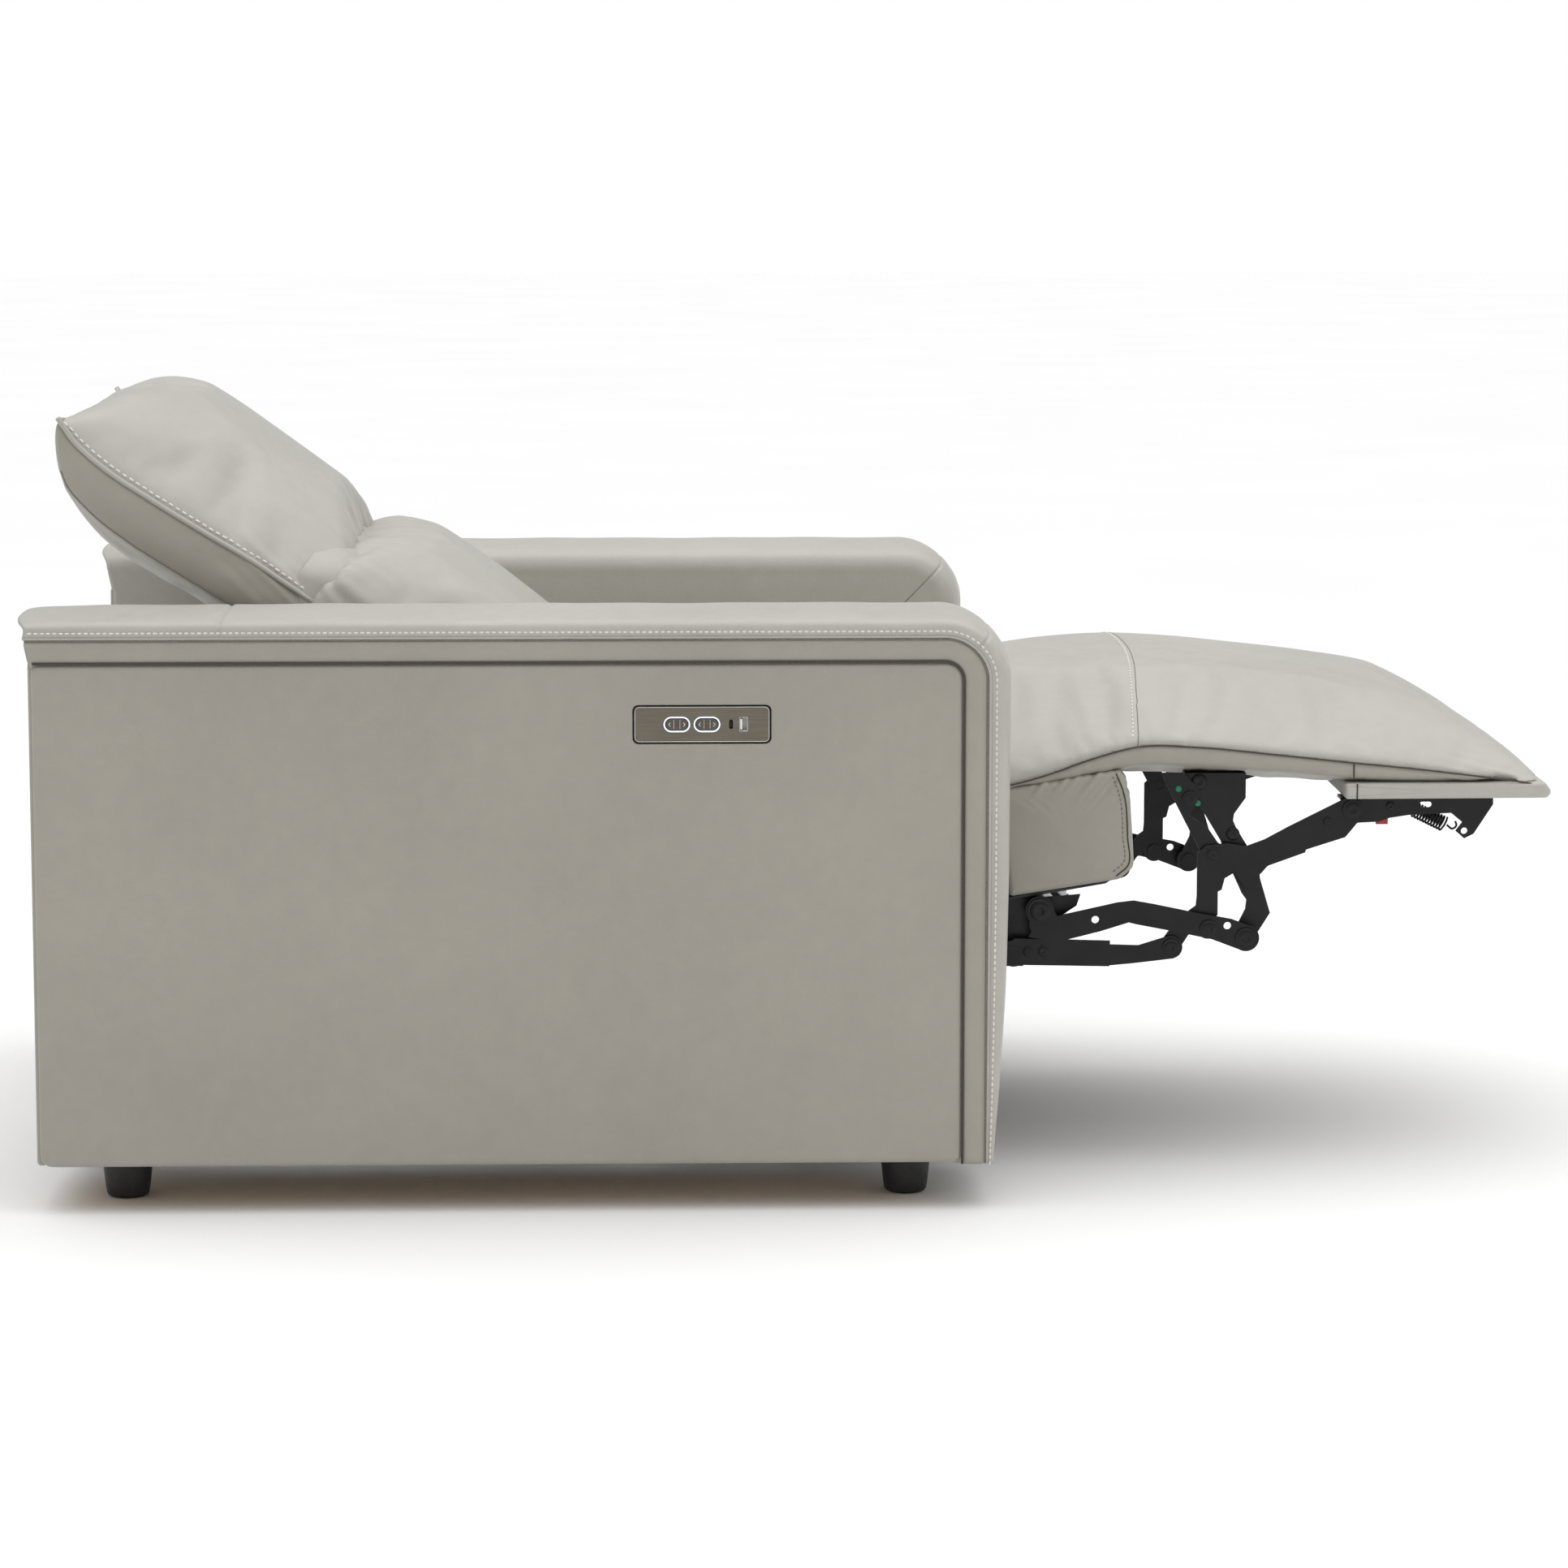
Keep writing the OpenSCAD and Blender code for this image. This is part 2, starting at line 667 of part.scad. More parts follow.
module footrest_bumpers() color("firebrick") mirrored()
  slab(-layer(4) + link_t, -layer(4) + link_t + 6, board_x + 35, board_x + 47, board_z - 29, board_z - 21);

// ---- Backrest ----

module back_frame() color("dimgray") on_back() {
  v0 = back_frame_v;
  v1 = back_frame_v + back_frame_t;
  mirrored() slab(-back_frame_y, -back_frame_y + 27, -back_len, 10, v0, v1);
  for (x = [-back_len, -25]) slab(-back_frame_y, back_frame_y, x, x + 35, v0, v1);
  mirrored() slab(-post_y - 9, -back_frame_y, -25, 10, v0, v1);
  mirrored() difference() {
    union() {
      slab(-post_y - 9, -post_y - 6, -25, 10, v0, -4);
      rod([0, 0], -post_y - 9, -post_y - 6, 12);
    }
    rod([0, 0], -post_y - 10, -post_y - 5, rivet_r);
  }
  mirrored() slab(-head_arm_y, -head_arm_y + 6, -head_pivot - 4, -head_pivot + 4, v0, head_pivot_v);
  mirrored() slab(-head_arm_y, -head_arm_y + 6, -head_pivot, -back_len + 10, v0, v1);
  rod([-head_pivot, head_pivot_v], -head_arm_y, head_arm_y, 4);
}

module back_webbing() color("black") on_back() for (n = [0 : 3])
  slab(-back_frame_y, back_frame_y, -60 - n * 72 - 50, -60 - n * 72, back_frame_v + back_frame_t,
       back_frame_v + back_frame_t + 2);

module back_cushion() color("lightgray") on_back() across(-cushion_y, cushion_y) polygon([
  [-14, back_frame_v + back_frame_t + 4], [-14, 2], [-60, 26], [-150, 44], [-0.8 * back_len, 48],
  [-0.94 * back_len, 38], [-back_len, 10], [-back_len, back_frame_v + back_frame_t + 4],
]);

module outside_back() color("darkgray") on_back()
  slab(-headrest_y, headrest_y, -back_len, 60, -back_depth, -back_depth + shell_t);

module back_hinge_pins() color("silver") mirrored() translate([hinge_x, 0, hinge_z]) {
  rod([0, 0], -post_y - 9, -post_y + 0.5, rivet_r);
  rod([0, 0], -post_y + 0.5, -post_y + 2.5, 9);
  rod([0, 0], -post_y - 11, -post_y - 9, 9);
}

board_v = -58;
board_back = 12;
arm_slot = 1;

module headrest_arms(grow) mirrored()
  slab(-head_arm_y + 7 - grow, -head_arm_y + 13 + grow, -head_pivot - 30 - grow, -head_pivot - 2,
       board_v - grow, head_pivot_v + 5.5 + grow);

module headrest_frame() color("burlywood") on_back() difference() {
  union() {
    slab(-back_frame_y + 7, back_frame_y - 7, -head_end + 25, -head_start - 12, board_v, board_v + board_back);
    headrest_arms(0);
    mirrored() rod([-head_pivot, head_pivot_v], -head_arm_y + 7, -head_arm_y + 13, 5.7);
  }
  mirrored() rod([-head_pivot, head_pivot_v], -head_arm_y + 6.5, -head_arm_y + 14, 4 + pivot_play);
}

module headrest_cushion() color("lightgray") on_back() difference() {
  across(-headrest_y, headrest_y) polygon([
    [-head_start, board_v + board_back + 1], [-head_start, 8], [-head_start - 16, 20],
    [-head_end + 57, 24], [-head_end + 17, 0], [-head_end + 6, board_v + board_back + 1],
  ]);
  headrest_arms(arm_slot);
}

module headrest_back() color("darkgray") on_back() difference() {
  across(-headrest_y, headrest_y) polygon([
    [-head_start, board_v - 1], [-head_end + 2, board_v - 1], [-head_end, -back_depth + 12],
    [-head_end + head_round, -back_depth], [-head_start, -back_depth],
  ]);
  slab(-46, 46, -head_start - 121, -head_start + 1, board_v - 41, board_v);
}

module headrest_motor() color("black") on_back()
  slab(-44, 44, -head_start - 119, -head_start - 2, board_v - 39, board_v - 2);

// ---- Nodes ----

module left_side() mirror([0, 1, 0]) children();

place() arm_frame();  // right_arm_frame
place() left_side() arm_frame();  // left_arm_frame
place() right_panel_with_pocket();  // right_outer_panel
place() left_side() color("darkgray") outer_panel();  // left_outer_panel
place() arm_pad();  // right_arm_pad
place() left_side() arm_pad();  // left_arm_pad
place() inner_panel();  // right_inner_panel
place() left_side() inner_panel();  // left_inner_panel
place() base_rails();
place() slide_tracks();
place() base_cross_tubes();
place() rear_panel();
place() foot(foot_xs[1]);  // front_right_foot
place() foot(foot_xs[0]);  // rear_right_foot
place() left_side() foot(foot_xs[1]);  // front_left_foot
place() left_side() foot(foot_xs[0]);  // rear_left_foot
place() foot_bolts();
place() arm_bolts();
place() control_plate();
place() switch_housing();
place() usb_a_socket();
place() usb_c_socket();
place() light_rings();
place() rocker(rocker_xs[0]);  // recline_rocker
place() rocker(rocker_xs[1]);  // headrest_rocker
place() power_box();
place() power_inlet();
place() seat_frame();
place() seat_webbing();
place() seat_cushion();
place() seat_fascia();
place() carriage_plates();
place() seat_runners();
place() drive_motor();
place() drive_rail();
place() drive_block();
place() carriage_rivets();
place() torque_tube();
place() drive_links();
place() drive_link_rivets();
place() lower_links();
place() lower_link_rivets();
place() bellcranks();
place() bellcrank_rivets();
place() ottoman_links();
place() control_links();
place() footrest_board();
place() footrest_pad();
place() footrest_brackets();
place() footrest_springs();
place() footrest_bumpers();
place() back_frame();
place() back_webbing();
place() back_cushion();
place() outside_back();
place() back_hinge_pins();
place() headrest_frame();
place() headrest_cushion();
place() headrest_back();
place() headrest_motor();
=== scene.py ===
"""Upholstery, linkage detail, finishes, lights and camera of a power recliner armchair, built round its
frame."""

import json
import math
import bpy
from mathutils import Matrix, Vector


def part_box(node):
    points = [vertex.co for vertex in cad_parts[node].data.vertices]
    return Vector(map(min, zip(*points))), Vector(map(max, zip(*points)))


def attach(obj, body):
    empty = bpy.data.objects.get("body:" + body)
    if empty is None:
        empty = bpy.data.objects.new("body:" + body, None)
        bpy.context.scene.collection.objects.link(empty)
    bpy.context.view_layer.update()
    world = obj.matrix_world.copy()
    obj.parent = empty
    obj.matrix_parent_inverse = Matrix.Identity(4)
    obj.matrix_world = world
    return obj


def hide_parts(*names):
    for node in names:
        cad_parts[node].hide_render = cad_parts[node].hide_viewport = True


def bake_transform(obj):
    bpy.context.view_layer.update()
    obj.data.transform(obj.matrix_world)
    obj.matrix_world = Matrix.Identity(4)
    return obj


bl_info = {
    "name": "Power recliner armchair",
    "version": (1, 0, 0),
    "blender": (4, 5, 0),
    "location": "3D View > Sidebar > Recliner",
    "description": "Builds the leather, stitching, steel and control panel of a power recliner armchair",
    "category": "Add Mesh",
}

import bmesh
import bpy
import numpy as np
from mathutils.bvhtree import BVHTree

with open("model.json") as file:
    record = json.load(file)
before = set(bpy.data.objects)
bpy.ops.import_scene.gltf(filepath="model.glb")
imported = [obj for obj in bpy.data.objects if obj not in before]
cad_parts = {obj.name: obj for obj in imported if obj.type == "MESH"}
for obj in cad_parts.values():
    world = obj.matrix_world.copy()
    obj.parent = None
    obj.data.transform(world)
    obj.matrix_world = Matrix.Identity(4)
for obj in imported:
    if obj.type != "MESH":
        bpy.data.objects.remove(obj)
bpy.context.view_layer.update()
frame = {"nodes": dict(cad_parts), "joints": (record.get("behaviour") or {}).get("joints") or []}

MM = 0.001
PANEL_SET_BACK = 16
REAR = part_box("right_outer_panel")[0].x - PANEL_SET_BACK * MM
HALF_WIDTH = -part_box("right_outer_panel")[0].y / MM
INNER_Y = -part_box("right_inner_panel")[1].y / MM
PANEL_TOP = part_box("right_outer_panel")[1].z / MM
PANEL_FRONT = (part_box("right_outer_panel")[1].x - REAR) / MM
FOOT_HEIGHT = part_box("right_outer_panel")[0].z / MM
PAD_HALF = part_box("footrest_pad")[1].y / MM
JOINTS = {j["name"]: j for j in frame["joints"]}
RECLINE = 35.0


class Lie:
    """A side-view frame in millimetres: a runs along the piece, b square to it, and y across the chair."""

    def __init__(self, origin, degrees):
        turn = math.radians(degrees)
        self.origin = np.array(origin, float)
        self.along = np.array([-math.cos(turn), 0, math.sin(turn)])
        self.out = np.array([math.sin(turn), 0, math.cos(turn)])

    def place(self, a, y, b):
        a, y, b = np.broadcast_arrays(np.asarray(a, float), np.asarray(y, float), np.asarray(b, float))
        flat = self.origin + MM * (a[..., None] * self.along + b[..., None] * self.out)
        flat[..., 1] += MM * y
        return flat

    def slab(self, a, b, y):
        return self.place(a, y, b)


class SideView(Lie):
    """The chair's own side view: a is the distance from the arms' rear and b the height above the floor."""

    def __init__(self):
        self.origin = np.array([REAR, 0.0, 0.0])
        self.along = np.array([1.0, 0, 0])
        self.out = np.array([0, 0, 1.0])


SIDE = SideView()
BACK = Lie(JOINTS["back_recline"]["pos_m"], RECLINE)
SIDES = ((-1, "right"), (1, "left"))


def side_box(node):
    """A frame part's box in the side view: its lowest and highest place along, and its lowest and highest
    height."""
    low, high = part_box(node)
    return (low.x - REAR) / MM, (high.x - REAR) / MM, low.z / MM, high.z / MM


def side_rectangle(node):
    """The middle and the half size of a frame part's box in the side view."""
    x0, x1, z0, z1 = side_box(node)
    return ((x0 + x1) / 2, (z0 + z1) / 2), ((x1 - x0) / 2, (z1 - z0) / 2)


def mount(obj, body, slot, *replaced, fill=None):
    """Rides a piece on a body, in place of the frame parts named."""
    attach(obj, body)
    if replaced:
        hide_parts(*replaced)
    return obj


# ---- Sizes and colours ----


class ReclinerSizes(bpy.types.PropertyGroup):
    """Sizes of the upholstery that a user would change"""

    seat_swell: bpy.props.FloatProperty(
        name="Seat swell", description="How far the seat and footrest leather may swell out",
        default=0.012, unit="LENGTH")
    back_swell: bpy.props.FloatProperty(
        name="Back swell", description="How far the back and headrest leather may swell out",
        default=0.014, unit="LENGTH")
    weave_size: bpy.props.FloatProperty(
        name="Cloth mesh size", description="Spacing of the simulated leather's mesh",
        default=0.007, unit="LENGTH")
    stitch_pitch: bpy.props.FloatProperty(
        name="Stitch pitch", description="Distance from one stitch to the next",
        default=0.0062, unit="LENGTH")
    stitch_length: bpy.props.FloatProperty(
        name="Stitch length", description="Length of one stitch", default=0.0044, unit="LENGTH")
    stitch_radius: bpy.props.FloatProperty(
        name="Thread radius", description="Radius of the sewing thread", default=0.0009, unit="LENGTH")
    welt_radius: bpy.props.FloatProperty(
        name="Welt radius", description="Radius of the rolled welts", default=0.0019, unit="LENGTH")
    coil_turns: bpy.props.FloatProperty(
        name="Coil turns", description="Turns in each footrest spring", default=11.0)


class ReclinerColours(bpy.types.PropertyGroup):
    """Colours of the finishes"""

    leather: bpy.props.FloatVectorProperty(
        name="Leather", description="Grey taupe leather", default=(0.44, 0.425, 0.386), subtype="COLOR")
    # Side leather is the same leather darkened as painted shade, for sides, undersides and flat panels that
    # face away from the top light.
    painted_shade_side_leather: bpy.props.FloatVectorProperty(
        name="Side leather", description="Leather of the flat outer panels",
        default=(0.34, 0.321, 0.277), subtype="COLOR")
    # The seam colour is painted shade: near-black tubes laid in the seam grooves stand for the grooves'
    # shadow.
    seam: bpy.props.FloatVectorProperty(
        name="Seam", description="Shadowed thread in the seams",
        default=(0.055, 0.048, 0.04), subtype="COLOR")
    # The soft seam colour is lighter painted shade for the shallow creases: tubes under the arm welt, across
    # the seat and along the headrest's back seam. It is also the real colour of the darker stitches on the
    # seat front box.
    soft_seam_shade_and_thread: bpy.props.FloatVectorProperty(
        name="Soft seam", description="Folded leather in the shallow seams",
        default=(0.20, 0.185, 0.16), subtype="COLOR")
    stitch: bpy.props.FloatVectorProperty(
        name="Stitch", description="Pale topstitching thread", default=(0.75, 0.72, 0.65), subtype="COLOR")
    steel: bpy.props.FloatVectorProperty(
        name="Black steel", description="Painted steel of the linkage",
        default=(0.0045, 0.0045, 0.005), subtype="COLOR")
    plate: bpy.props.FloatVectorProperty(
        name="Control plate", description="Bronze of the control plate",
        default=(0.165, 0.145, 0.115), subtype="COLOR")
    glow: bpy.props.FloatVectorProperty(
        name="Switch light", description="Light round the rockers",
        default=(0.75, 0.82, 0.95), subtype="COLOR")


# ---- Surfaces ----

ARC_STEPS = 13
ARC_PULL, ARC_EASE = 0.96, 0.04
THREAD_SIDES = 6
SPINDLE = ((-1, 0.25), (-0.72, 0.85), (0, 1.0), (0.72, 0.85), (1.0, 0.25))
FACE_SHARES = (0.04, 0.1, 0.2, 0.32, 0.46, 0.6, 0.72, 0.82, 0.9, 0.95, 0.98, 0.994)
HOLE_SHARES = (0.03, 0.07, 0.14, 0.25, 0.38, 0.5, 0.62, 0.74, 0.84, 0.92, 0.97, 0.99)
HOLE_DEPTH = 17
HOLE_LIP = 1.016
HOLE_WALL = (
    (0.02, HOLE_DEPTH), (0.5, HOLE_DEPTH), (0.97, HOLE_DEPTH), (1, HOLE_DEPTH - 0.5), (1, HOLE_DEPTH / 2),
    (1, 1.8), (1.002, 0.9), (1.008, 0.3), (HOLE_LIP, 0),
)
LINE_POINTS = 160
CROWN_POINTS, BORDER_POINTS, UNDER_POINTS = 91, 11, 61
END_SHARES = (0.3, 0.7, 0.96)
EAR_LENGTH = 70
UNDER_SAG = 6


def hermite(places, values, s):
    """Cubic pieces through the values at the places, read at s. Each slope is the chord between the
    neighbours."""
    slope = np.gradient(values, places, axis=0)
    k = np.clip(np.searchsorted(places, s, side="right") - 1, 0, len(places) - 2)
    h = places[k + 1] - places[k]
    u = (s - places[k]) / h
    if values.ndim > 1:
        h, u = h[:, None], u[:, None]
    return ((2 * u**3 - 3 * u**2 + 1) * values[k] + (u**3 - 2 * u**2 + u) * h * slope[k]
            + (3 * u**2 - 2 * u**3) * values[k + 1] + (u**3 - u**2) * h * slope[k + 1])


def line(points, count):
    """A smooth line through the points, as count samples evenly spaced along its chords."""
    p = np.asarray(points, float)
    t = np.r_[0, np.cumsum(np.linalg.norm(np.diff(p, axis=0), axis=1))]
    t = t / t[-1]
    return hermite(t, p, np.linspace(0, 1, count))


def along(table, s, column):
    """A column of a table of stations, read smoothly at the distances s in its first column."""
    t = np.array(table, float)
    return hermite(t[:, 0], t[:, column], s)


def outline(corners, radii, count):
    """A closed outline of straight sides joined by arcs, each of its corner's radius, in count evenly
    spaced points."""
    c = np.array(corners, float)
    before = np.roll(c, 1, axis=0) - c
    after = np.roll(c, -1, axis=0) - c
    before /= np.linalg.norm(before, axis=1)[:, None]
    after /= np.linalg.norm(after, axis=1)[:, None]
    half = np.arccos(np.clip((before * after).sum(1), -1, 1)) / 2
    reach = np.array(radii, float) / np.tan(half)
    start, end = c + before * reach[:, None], c + after * reach[:, None]
    u = np.linspace(0, 1, ARC_STEPS)[None, :, None]
    arcs = ((1 - u) ** 2 * start[:, None] + 2 * u * (1 - u) * ARC_PULL * c[:, None]
            + ARC_EASE * 2 * u * (1 - u) * (start + end)[:, None] / 2 + u**2 * end[:, None])
    loop = arcs.reshape(-1, 2)
    loop = np.vstack([loop, loop[:1]])
    gap = np.r_[0, np.cumsum(np.linalg.norm(np.diff(loop, axis=0), axis=1) + 1e-9)]
    s = np.linspace(0, gap[-1], count, endpoint=False)
    return np.stack([np.interp(s, gap, loop[:, 0]), np.interp(s, gap, loop[:, 1])], 1)


def skin(name, rings, finish):
    """A closed surface over rings of points, a grid of ring and place round the ring, with a pole at each
    end."""
    rings = np.asarray(rings, float)
    count, around = rings.shape[:2]
    verts = np.vstack([rings.reshape(-1, 3), rings[0].mean(0), rings[-1].mean(0)])
    pole, last = count * around, (count - 1) * around
    r = np.arange(count - 1)[:, None] * around
    a = np.arange(around)
    b = (a + 1) % around
    quads = np.stack([r + a, r + b, r + around + b, r + around + a], -1).reshape(-1, 4)
    low = np.stack([b, a, np.full(around, pole)], -1)
    high = np.stack([last + a, last + b, np.full(around, pole + 1)], -1)
    tri = verts[np.vstack([quads[:, :3], quads[:, [0, 2, 3]], low, high])]
    volume = (np.cross(tri[:, 1] - tri[:, 0], tri[:, 2] - tri[:, 0]) * tri[:, 0]).sum()
    faces = quads.tolist() + low.tolist() + high.tolist()
    if volume < 0:
        faces = [f[::-1] for f in faces]
    return piece(name, verts, faces, finish)


def piece(name, verts, faces, finish, smooth=True):
    """A mesh object of the given points and faces, with one finish."""
    mesh = bpy.data.meshes.new(name)
    mesh.from_pydata(np.asarray(verts, float).tolist(), [], faces)
    mesh.materials.append(finish)
    if smooth:
        mesh.shade_smooth()
    mesh.update()
    obj = bpy.data.objects.new(name, mesh)
    bpy.context.scene.collection.objects.link(obj)
    return obj


def tangents(path, closed):
    """Unit directions along a path, by central differences."""
    if closed:
        d = np.roll(path, -1, axis=0) - np.roll(path, 1, axis=0)
    else:
        d = np.gradient(path, axis=0)
    return d / (np.linalg.norm(d, axis=1)[:, None] + 1e-12)


def tube(name, path, radius, finish, out, closed=False, sides=8):
    """A round tube: circles of the radius, square to the path, carried along it."""
    path = np.asarray(path, float)
    t = tangents(path, closed)
    out = np.broadcast_to(np.asarray(out, float), path.shape)
    n = out - (out * t).sum(1)[:, None] * t
    n /= np.linalg.norm(n, axis=1)[:, None] + 1e-12
    b = np.cross(t, n)
    turn = np.linspace(0, 2 * math.pi, sides, endpoint=False)
    ring = np.cos(turn)[None, :, None] * n[:, None] + np.sin(turn)[None, :, None] * b[:, None]
    rings = path[:, None] + radius * ring
    if not closed:
        return skin(name, rings, finish)
    r = np.arange(len(path))[:, None] * sides
    after = np.roll(r, -1, axis=0)
    a = np.arange(sides)
    q = (a + 1) % sides
    faces = np.stack([r + q, r + a, after + a, after + q], -1).reshape(-1, 4).tolist()
    return outwards(piece(name, rings.reshape(-1, 3), faces, finish))


def outwards(obj):
    """Turns an object's faces outwards."""
    work = bmesh.new()
    work.from_mesh(obj.data)
    bmesh.ops.recalc_face_normals(work, faces=work.faces)
    work.to_mesh(obj.data)
    work.free()
    return obj


def measured(path, pitch):
    """Points every pitch along a path, with the path's running length and the points' places on it."""
    path = np.asarray(path, float)
    gap = np.r_[0, np.cumsum(np.linalg.norm(np.diff(path, axis=0), axis=1))]
    s = np.arange(pitch / 2, gap[-1], pitch)
    return np.stack([np.interp(s, gap, path[:, k]) for k in range(3)], 1), gap, s


def stitches(name, rows, finish, sizes, scale=1.0):
    """Rows of thread stitches: one small six-sided spindle, carried to even places along each row and
    turned along it."""
    spin = np.linspace(0, 2 * math.pi, THREAD_SIDES, endpoint=False)
    ends, fat = np.array(SPINDLE).T
    ring = np.arange(THREAD_SIDES)
    after = (ring + 1) % THREAD_SIDES
    last = (len(SPINDLE) - 1) * THREAD_SIDES
    points_each = last + THREAD_SIDES
    cell = np.stack([ring, after, THREAD_SIDES + after, THREAD_SIDES + ring], -1)
    unit = np.concatenate([k + cell for k in range(0, last, THREAD_SIDES)])
    verts = []
    for path, out in rows:
        at, gap, s = measured(path, sizes.stitch_pitch * scale)
        way = tangents(at, False)
        out = np.broadcast_to(out, np.asarray(path).shape)
        normal = np.stack([np.interp(s, gap, out[:, k]) for k in range(3)], 1)
        normal -= (normal * way).sum(1)[:, None] * way
        normal /= np.linalg.norm(normal, axis=1)[:, None] + 1e-12
        side = np.cross(way, normal)
        reach = (ends * sizes.stitch_length * scale / 2)[None, :, None, None]
        round_it = (np.cos(spin)[None, None, :, None] * normal[:, None, None] * 0.8
                    + np.sin(spin)[None, None, :, None] * side[:, None, None] * 1.15)
        thick = sizes.stitch_radius * scale * fat[None, :, None, None]
        verts.append((at[:, None, None] + way[:, None, None] * reach + thick * round_it).reshape(-1, 3))
    verts = np.vstack(verts)
    first = np.arange(0, len(verts), points_each)[:, None]
    quads = (unit[None] + first[:, None]).reshape(-1, 4).tolist()
    caps = (first + ring[::-1]).tolist() + (first + last + ring).tolist()
    return outwards(piece(name, verts, quads + caps, finish))


def hole_rim(loop, centre, half, radius):
    """Where the lines from a hole's centre to the loop's points cross the hole's rounded rectangle."""
    way = np.arctan2((loop - centre)[:, 1], (loop - centre)[:, 0])
    reach = 1 / np.maximum(np.abs(np.cos(way)) / half[0], np.abs(np.sin(way)) / half[1])
    rim = np.stack([np.cos(way), np.sin(way)], 1) * reach[:, None]
    straight = np.array(half) - radius
    inset = np.clip(np.abs(rim) - straight, 0, None)
    over = np.linalg.norm(inset, axis=1)
    pull = np.where(over > radius, radius / np.maximum(over, 1e-9), 1)
    return centre + np.sign(rim) * (np.minimum(np.abs(rim), straight) + inset * pull[:, None])


def block(name, loop, low, high, finish, edge, dome, place=SIDE.slab, hole=None):
    """A leather-covered slab: an outline in the side view, rolled over its edges with a radius and gently
    domed on both faces. A ring is the outline drawn in towards a middle point, at a depth that follows a
    quarter circle at the edge. With a hole, the low face stops at the hole's outline and turns in
    there."""
    d = np.roll(loop, -1, axis=0) - np.roll(loop, 1, axis=0)
    normal = np.stack([d[:, 1], -d[:, 0]], 1)
    normal /= np.linalg.norm(normal, axis=1)[:, None]
    normal *= np.sign((loop[:, 0] * np.roll(loop[:, 1], -1) - np.roll(loop[:, 0], -1) * loop[:, 1]).sum())
    middle = (loop.max(0) + loop.min(0)) / 2
    face = loop - normal * edge
    inward = math.copysign(1, high - low)
    if hole is None:
        layers = [(middle + (face - middle) * k, low - inward * dome * (1 - k**2)) for k in FACE_SHARES]
    else:
        centre = np.array(hole[0])
        rim = hole_rim(loop, *hole)
        lip = centre + (rim - centre) * HOLE_LIP
        layers = [(centre + (rim - centre) * k, low + inward * sink) for k, sink in HOLE_WALL]
        layers += [(lip + (face - lip) * k, low) for k in HOLE_SHARES]
    turn = np.linspace(0, math.pi / 2, 7)
    rolled = [(loop - normal * edge * (1 - math.sin(a)), inward * edge * (1 - math.cos(a))) for a in turn]
    layers += [(ring, low + sink) for ring, sink in rolled]
    layers += [(ring, high - sink) for ring, sink in rolled[::-1]]
    layers += [(middle + (face - middle) * k, high + inward * dome * (1 - k**2)) for k in FACE_SHARES[::-1]]
    rings = np.array([ring for ring, _ in layers])
    depths = np.array([[depth] for _, depth in layers], float)
    return skin(name, place(rings[..., 0], rings[..., 1], depths), finish)


def shrunk(ring, share):
    """A ring drawn in towards its middle."""
    return ring.mean(0) + (ring - ring.mean(0)) * share


class Pad:
    """A padded piece in the side view. Its table gives, at each station, the distance along, the crown,
    the side seam, the underside and a share of the half width, and its roundness the two powers of its
    crown."""

    def __init__(self, table, half, lie, roundness, ear=0):
        self.table, self.half, self.lie, self.roundness, self.ear = table, half, lie, roundness, ear

    def crown(self, u):
        return (1 - np.abs(u) ** self.roundness[0]) ** self.roundness[1]

    def build(self, name, stations, belly):
        """Closed loops at the stations. Each crowns from the side seams to the top line by a superellipse
        of the distance across, drops down the side borders and returns under it."""
        s = np.linspace(self.table[0][0], self.table[-1][0], stations)
        top, seam, under, share = (along(self.table, s, k)[:, None] for k in (1, 2, 3, 4))
        wide = self.half * share
        u = np.sin(np.linspace(-math.pi / 2, math.pi / 2, CROWN_POINTS))
        v = np.linspace(0, 1, BORDER_POINTS + 2)[1:-1]
        w = np.linspace(1, -1, UNDER_POINTS)
        side_y = wide + belly * np.sin(math.pi * v) * np.clip((seam - under) / 40, 0, 1)
        side_b = seam + (under - seam) * v
        under_b = under - UNDER_SAG * (1 - np.abs(w) ** 4) * np.clip((seam - under) / 25, 0, 1)
        y = np.hstack([wide * u, side_y, (wide - 0.5) * w, -side_y[:, ::-1]])
        b = np.hstack([seam + (top - seam) * self.crown(u), side_b, under_b, side_b[:, ::-1]])
        a = np.broadcast_to(s[:, None], y.shape).copy()
        drawn = self.ear * np.clip((s - (s[-1] - EAR_LENGTH)) / EAR_LENGTH, 0, 1)[:, None]
        a[:, :CROWN_POINTS] -= drawn * (1 - u**4)
        low = CROWN_POINTS + BORDER_POINTS
        a[:, low : low + UNDER_POINTS] -= drawn * (1 - w**4)
        rings = self.lie.place(a, y, b)
        ends = [shrunk(rings[0], k) for k in END_SHARES]
        far = [shrunk(rings[-1], k) for k in END_SHARES[::-1]]
        return skin(name, np.concatenate([ends, rings, far]), FINISH["leather"])

    def seam(self, side, start, end, column=2, lift=0.0, out=0.0):
        """The line of the side seam, or of the underside with column 3, between two stations, on one side."""
        s = np.linspace(start, end, LINE_POINTS)
        share = along(self.table, s, 4)
        return self.lie.place(s, side * (self.half * share + out), along(self.table, s, column) + lift)

    def cross(self, station, reach=1.0, bow=0.0):
        """A line across the crown at one station, bowed along the piece at its middle."""
        u = np.sin(np.linspace(-math.pi / 2, math.pi / 2, LINE_POINTS)) * reach
        s = station + bow * (1 - u**2)
        top, seam, share = (along(self.table, s, k) for k in (1, 2, 4))
        return self.lie.place(s, self.half * share * u, seam + (top - seam) * self.crown(u))


